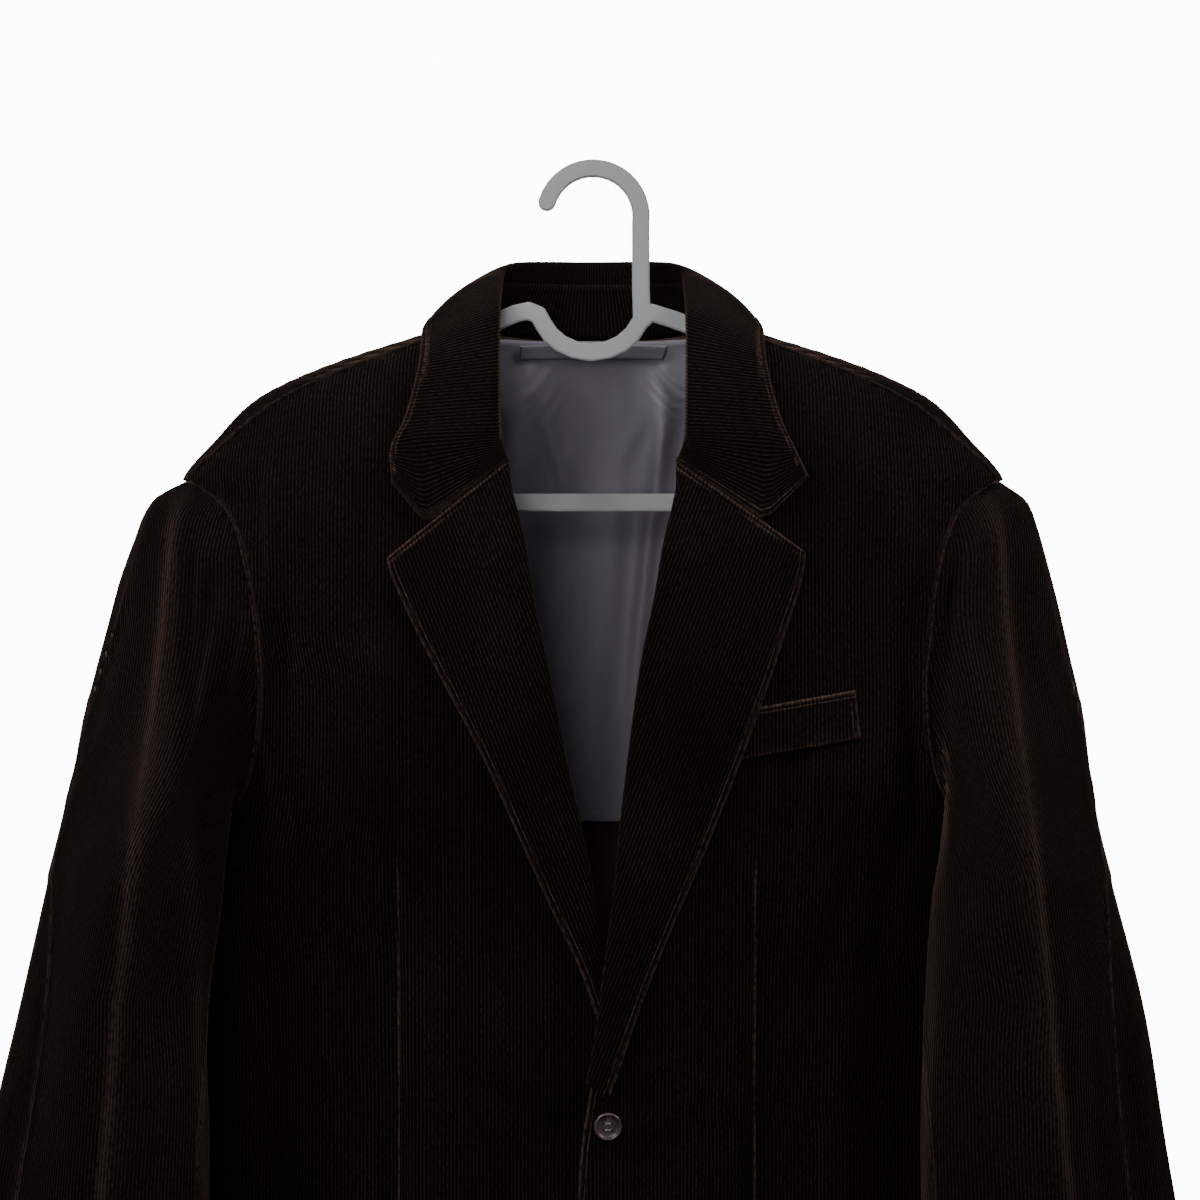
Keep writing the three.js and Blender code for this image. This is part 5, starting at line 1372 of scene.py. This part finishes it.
def lining_fold(x, z):
    total = 0
    for top_x, top_z, end_x, end_z, depth, width in zip(*LINING_FOLDS.values()):
        along = np.clip((top_z - z) / (top_z - end_z), 0, 1)
        off = (x - mix(top_x, end_x, along)) / width
        fade = smooth(0, 0.15, along) * (smooth(1, 0.6, along) if end_z > LINING_HEM_Z else 1)
        total = total + depth * fade * np.exp(-off * off)
    return total


def closed_sheet(name, points, toward, wall, material):
    """A closed wall behind a grid of points, on the side away from the point toward."""
    normals = grid_normals(points)
    normals *= 1 if np.sum(normals * (toward - points), -1).mean() > 0 else -1
    rows, columns = points.shape[:2]
    vertices = np.concatenate([points.reshape(-1, 3), (points - normals * wall).reshape(-1, 3)])
    index = np.arange(rows * columns).reshape(rows, columns)
    under = index + rows * columns
    faces = sum(wall_faces(index, under), [])
    faces += strip_faces(index[0, 1:], index[0, :-1], under[0, :-1], under[0, 1:])
    faces += strip_faces(index[-1, :-1], index[-1, 1:], under[-1, 1:], under[-1, :-1])
    uv = np.stack([cumulative(points, 1), cumulative(points, 0)], -1).reshape(-1, 2)
    return new_object(name, vertices, faces, material, np.concatenate([uv, uv]) * MM * UV_SCALE)


def lining():
    zs = [
        LINING_HEM_Z, -371.4, -370, -368, -366.6, LINING_STITCH_Z, -364.4, -362,
        *np.arange(-357, -112, 6), -108, -104, -101, -98.5, -96.5, LINING_TOP_Z,
    ]
    points = []
    u = np.linspace(-1, 1, 181)
    for z in zs:
        end = angle_at(armhole_back(z) - 14, z) if z < -190 else mix(60, 38, smooth(-150, -104, z))
        phi = 180 - u * float(end)
        at = body_point(phi, z)
        top = smooth(-112, LINING_TOP_Z, z) * (neck_z(np.where(phi > 180, 360 - phi, phi)) + 90 + LINING_RISE)
        groove = STITCH_GROOVE * math.exp(-(((z - LINING_STITCH_Z) / STITCH_GROOVE_WIDTH) ** 2))
        hem = HEM_RISE * smooth(-362, LINING_STITCH_Z, z)
        inside = LINING_INSIDE + lining_fold(at[..., 0], z) + hem - groove
        points.append(at - body_normal(phi, np.full_like(phi, z)) * inside[:, None] + xyz(0, 0, top))
    points = np.array(points)
    obj = closed_sheet("back_lining_cloth", points, np.array([0, -400, -230]), LINING_WALL, LINING)
    finish_cloth(obj, "back_lining", points, cumulative(points, 1)[:, -1].max())


lining()


def lining_face(x, z):
    """The lining's inner face and the way it faces, seen from the front."""
    phi = 180 - angle_at(x, z)
    inside = LINING_INSIDE + lining_fold(x, z) + HEM_RISE - STITCH_GROOVE
    normal = body_normal(phi, z + 0 * x)
    return body_point(phi, z + 0 * x) - normal * inside[:, None], -normal


# Neck patch, a bare label sewn down along its top and sides
PATCH = {
    "left": -43.5, "right": 44.5, "top": -91.4, "bottom": -99.9, "wall": 0.8, "proud": 0.6, "lean": 1.6,
    "width": 88, "height": 8.5, "rise": 0.25, "rise_width": 0.9, "wave": 0.12, "flat": (0.089, 0.0102),
}


def neck_patch():
    u = np.linspace(0, 1, 90)
    points = []
    for v in np.linspace(0, 1, 14):
        z = mix(PATCH["bottom"], PATCH["top"], v)
        x = mix(PATCH["left"], PATCH["right"] - (1 - v) * 2 * PATCH["lean"], u)
        phi = 180 - angle_at(x, z)
        edge = np.minimum(np.minimum(u, 1 - u) * PATCH["width"], np.minimum(v, 1 - v) * PATCH["height"])
        raised = PATCH["rise"] * (1 - np.exp(-((edge / PATCH["rise_width"]) ** 2)))
        raised = raised + PATCH["wave"] * np.sin(u * 23) * np.sin(v * 3.1)
        inside = LINING_INSIDE + PATCH["proud"] + lining_fold(x, z) + PATCH["wall"] + raised
        points.append(body_point(phi, z) - body_normal(phi, z + 0 * x) * inside[:, None])
    points = np.array(points)
    obj = closed_sheet("neck_patch_cloth", points, np.array([0, -400, -97]), PATCH["wall"] + 0.4, LABEL)
    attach(obj, "root")
    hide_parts("neck_patch")


neck_patch()

# Breast welt on the left front
WELT = {
    "left": 66, "right": 149, "top_left": -305.5, "top_right": -291.5, "height": 27, "lean": 3, "gap": 0.7,
}


def breast_welt():
    off = FINISHED["off"][:-1]
    across = np.linspace(0, 1, 150)
    down = [*off, *np.linspace(8, WELT["height"] - 8, 4), *(WELT["height"] - off[::-1])]
    points = []
    for d in down:
        v = 1 - d / WELT["height"]
        x = mix(WELT["left"], WELT["right"], across) - v * WELT["lean"]
        z = mix(WELT["top_left"], WELT["top_right"], across) - d
        puff = 0.5 * np.sin(np.pi * across) * math.sin(math.pi * v)
        points.append(xyz(x, front_y(x, z, WELT["gap"] + CLOTH + puff), z))
    points = np.array(points)
    normals = facing(points, np.array([100, 400, -300]))
    grain = points[..., 0] + np.linspace(0, 1e-3, len(across))
    corduroy_piece("breast_welt", points, normals, grain, (FINISHED, FINISHED, FINISHED, SEWN), wall=2.0)


breast_welt()


# Round bars and turned forms
def ring_faces(rings, sides):
    """Faces of a form made of rings of points, with a cap at each end."""
    faces = []
    for base in range(0, (rings - 1) * sides, sides):
        for a in range(base, base + sides):
            b = base + (a + 1 - base) % sides
            faces.append([a, b, b + sides, a + sides])
    return [*faces, list(range(sides))[::-1], list(range((rings - 1) * sides, rings * sides))]


def bar(line, aside, up, radius, sides):
    """A closed bar round a line of points. radius is one number, or one for each point."""
    turn = np.linspace(0, 2 * math.pi, sides, endpoint=False)[:, None]
    ring = aside[:, None] * np.cos(turn) + up[:, None] * np.sin(turn)
    points = line[:, None] + ring * np.reshape(radius, (-1, 1, 1))
    return points.reshape(-1, 3), ring_faces(len(line), sides)


def joined(parts):
    """Several meshes, each its points and faces, as one."""
    points, faces = [], []
    for part_points, part_faces in parts:
        base = sum(map(len, points))
        points.append(part_points)
        faces += [[base + v for v in face] for face in part_faces]
    return np.concatenate(points), faces


def stitches(name, path, normals, material, length=2.4, gap=0.9, radius=0.22):
    """A row of short thread stitches along a line of points: slim bars that dip in at their ends."""
    arc = cumulative(path[None], 1)[0]
    lift = np.array([-1.0, 0.1, 0.5, 0.1, -1.0])[:, None] * radius
    thick = np.array([0.6, 0.95, 1.0, 0.95, 0.6]) * radius
    parts = []
    for start in np.arange(gap / 2, arc[-1] - length, length + gap):
        at = np.linspace(start, start + length, len(thick))
        middle = np.stack([np.interp(at, arc, path[:, k]) for k in range(3)], -1)
        out = unit(np.stack([np.interp(at, arc, normals[:, k]) for k in range(3)], -1))
        aside = unit(np.cross(unit(np.gradient(middle, axis=0)), out))
        parts.append(bar(middle + out * lift, aside, out, thick, 6))
    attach(new_object(name, *joined(parts), material), "root")


# Button, with four holes and its thread
BUTTON = {"x": 8.5, "z": -532, "radius": 7.75, "thick": 3, "rim": 1.7, "hole": 0.95, "spread": 1.75}
BUTTON_SINK = 0.9  # how far the fastened button pulls into the cloth
BUTTON_BACK = ((1.6, 0), (0.9, 0.15), (0.35, 0.6), (0, 1.2), (0, 1.7))  # inset from its radius, and depth
BUTTON_FACE = ((0.25, 1.05), (0.9, 1.2))  # inset from its rim, and depth below the top
BUTTON_DISH = 1.1  # how far its middle lies below the top
BUTTON_THREAD = {"radius": 0.27, "apart": 0.28}


def lathe(profile, sides):
    """A closed turned form about Y from its radius and depth at each ring."""
    turn = np.linspace(0, 2 * math.pi, sides, endpoint=False)
    rings = [xyz(radius * np.cos(turn), -depth, radius * np.sin(turn)) for radius, depth in profile]
    return np.concatenate(rings), ring_faces(len(profile), sides)


def drilled(obj, drill):
    """Cuts one closed mesh out of another, and removes it."""
    cut = obj.modifiers.new("holes", "BOOLEAN")
    cut.operation = "DIFFERENCE"
    cut.solver = "EXACT"
    cut.object = drill
    bpy.context.view_layer.update()
    shown = obj.evaluated_get(bpy.context.evaluated_depsgraph_get())
    obj.data = bpy.data.meshes.new_from_object(shown)
    obj.modifiers.clear()
    bpy.data.objects.remove(drill)
    obj.data.polygons.foreach_set("use_smooth", np.ones(len(obj.data.polygons), bool))
    obj.data.set_sharp_from_angle(angle=math.radians(38))


def button():
    radius, thick, rim = BUTTON["radius"], BUTTON["thick"], BUTTON["rim"]
    profile = [(radius - inset, depth) for inset, depth in BUTTON_BACK]
    for turn in np.linspace(0, math.pi, 9):
        profile.append((radius - rim / 2 + rim / 2 * math.cos(turn), thick - 0.75 + 0.75 * math.sin(turn)))
    profile += [(radius - rim - inset, thick - depth) for inset, depth in BUTTON_FACE]
    profile += [(2, thick - 1.12), (0.2, thick - BUTTON_DISH)]
    seat = float(front_y(BUTTON["x"], BUTTON["z"], overlap_lift(BUTTON["x"], BUTTON["z"]))) - BUTTON_SINK
    move = np.array([BUTTON["x"], seat, BUTTON["z"]])
    spots = [(i * BUTTON["spread"], k * BUTTON["spread"]) for i in (-1, 1) for k in (-1, 1)]
    drills = []
    for x, z in spots:
        hole, faces = lathe([(BUTTON["hole"], -2), (BUTTON["hole"], 8)], 24)
        drills.append((hole + move + np.array([x, 0, z]), faces))
    vertices, faces = lathe(profile, 72)
    body = new_object("button_resin", vertices + move, faces, HORN)
    drill = new_object("drill", *joined(drills), HORN)
    face_out(body)
    face_out(drill)
    drilled(body, drill)
    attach(body, "root")
    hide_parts("button")

    # Two strands of thread across the dish between each pair of holes
    front = seat - thick + 1.0
    levels = [front + 1.6, front - 0.15, front - 0.45, front - 0.15, front + 1.6]
    strands = []
    for (x, z), (far_x, far_z) in zip(spots[:2], spots[2:]):
        for strand in (-BUTTON_THREAD["apart"], BUTTON_THREAD["apart"]):
            across = [x, x * 0.8, 0, far_x * 0.8, far_x]
            up = [z + strand, z + strand, z + strand * 0.7, far_z + strand, far_z + strand]
            line = refined(xyz(across, levels, up)[None], 1, 5)[0] + move * np.array([1, 0, 1])
            ahead = unit(np.gradient(line, axis=0))
            aside = unit(np.cross(ahead, np.array([0.3, 0.2, 1.0])))
            strands.append(bar(line, aside, np.cross(aside, ahead), BUTTON_THREAD["radius"], 8))
    thread = new_object("button_thread", *joined(strands), THREAD)
    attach(thread, "root")


button()

# Hanger
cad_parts["hanger"].data.materials.clear()
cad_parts["hanger"].data.materials.append(PLASTIC)

# Stitches of the lining's hem
STITCH_REACH = 128
stitch_path, stitch_out = lining_face(np.linspace(-STITCH_REACH, STITCH_REACH, 200), LINING_STITCH_Z)
stitches("lining_hem_stitches", stitch_path, stitch_out, LINING)

# Stage
STAGE = {"floor_z": -1.15, "back_y": 2.4, "front_y": -4.5, "half_width": 6, "height": 4.5, "bend": 1.2}


def cyclorama():
    s = STAGE
    line = [(s["front_y"], s["floor_z"]), (s["back_y"] - s["bend"], s["floor_z"])]
    for turn in np.linspace(0, math.pi / 2, 13)[1:]:
        y = s["back_y"] - s["bend"] + s["bend"] * math.sin(turn)
        line.append((y, s["floor_z"] + s["bend"] * (1 - math.cos(turn))))
    line.append((s["back_y"], s["floor_z"] + s["height"]))
    vertices = np.array([(x, y, z) for y, z in line for x in (-s["half_width"], s["half_width"])]) / MM
    faces = [[2 * k, 2 * k + 1, 2 * k + 3, 2 * k + 2] for k in range(len(line) - 1)]
    obj = new_object("studio_floor", vertices, faces, stage_material())
    obj.visible_diffuse = False
    obj.visible_glossy = False


cyclorama()

# Lights: a soft box on each side, one above and one near the camera
LIGHTS = [
    {"name": "left", "place": (-1.5, -0.9, 1.3), "size": 1.0, "power": 108},
    {"name": "right", "place": (1.5, -0.9, 1.2), "size": 1.0, "power": 90},
    {"name": "top", "place": (0, -0.5, 2.2), "size": 1.2, "power": 35},
    {"name": "front", "place": (-0.7, -2.6, 0.2), "size": 1.3, "power": 64},
]
AIM = (0, 0, -0.4)
for row in LIGHTS:
    data = bpy.data.lights.new(row["name"], "AREA")
    data.shape = "SQUARE"
    data.size = row["size"]
    data.energy = row["power"]
    lamp = bpy.data.objects.new(row["name"], data)
    lamp.location = row["place"]
    away = [a - b for a, b in zip(row["place"], AIM)]
    flat = math.hypot(away[0], away[1])
    lamp.rotation_euler = (math.atan2(flat, away[2]), 0, math.atan2(away[0], -away[1]))
    bpy.context.scene.collection.objects.link(lamp)

WORLD_STRENGTH = 0.1
world = bpy.data.worlds.new("studio")
world.use_nodes = True
sky = world.node_tree.nodes["Background"]
sky.inputs["Color"].default_value = (1, 1, 1, 1)
sky.inputs["Strength"].default_value = WORLD_STRENGTH
bpy.context.scene.world = world
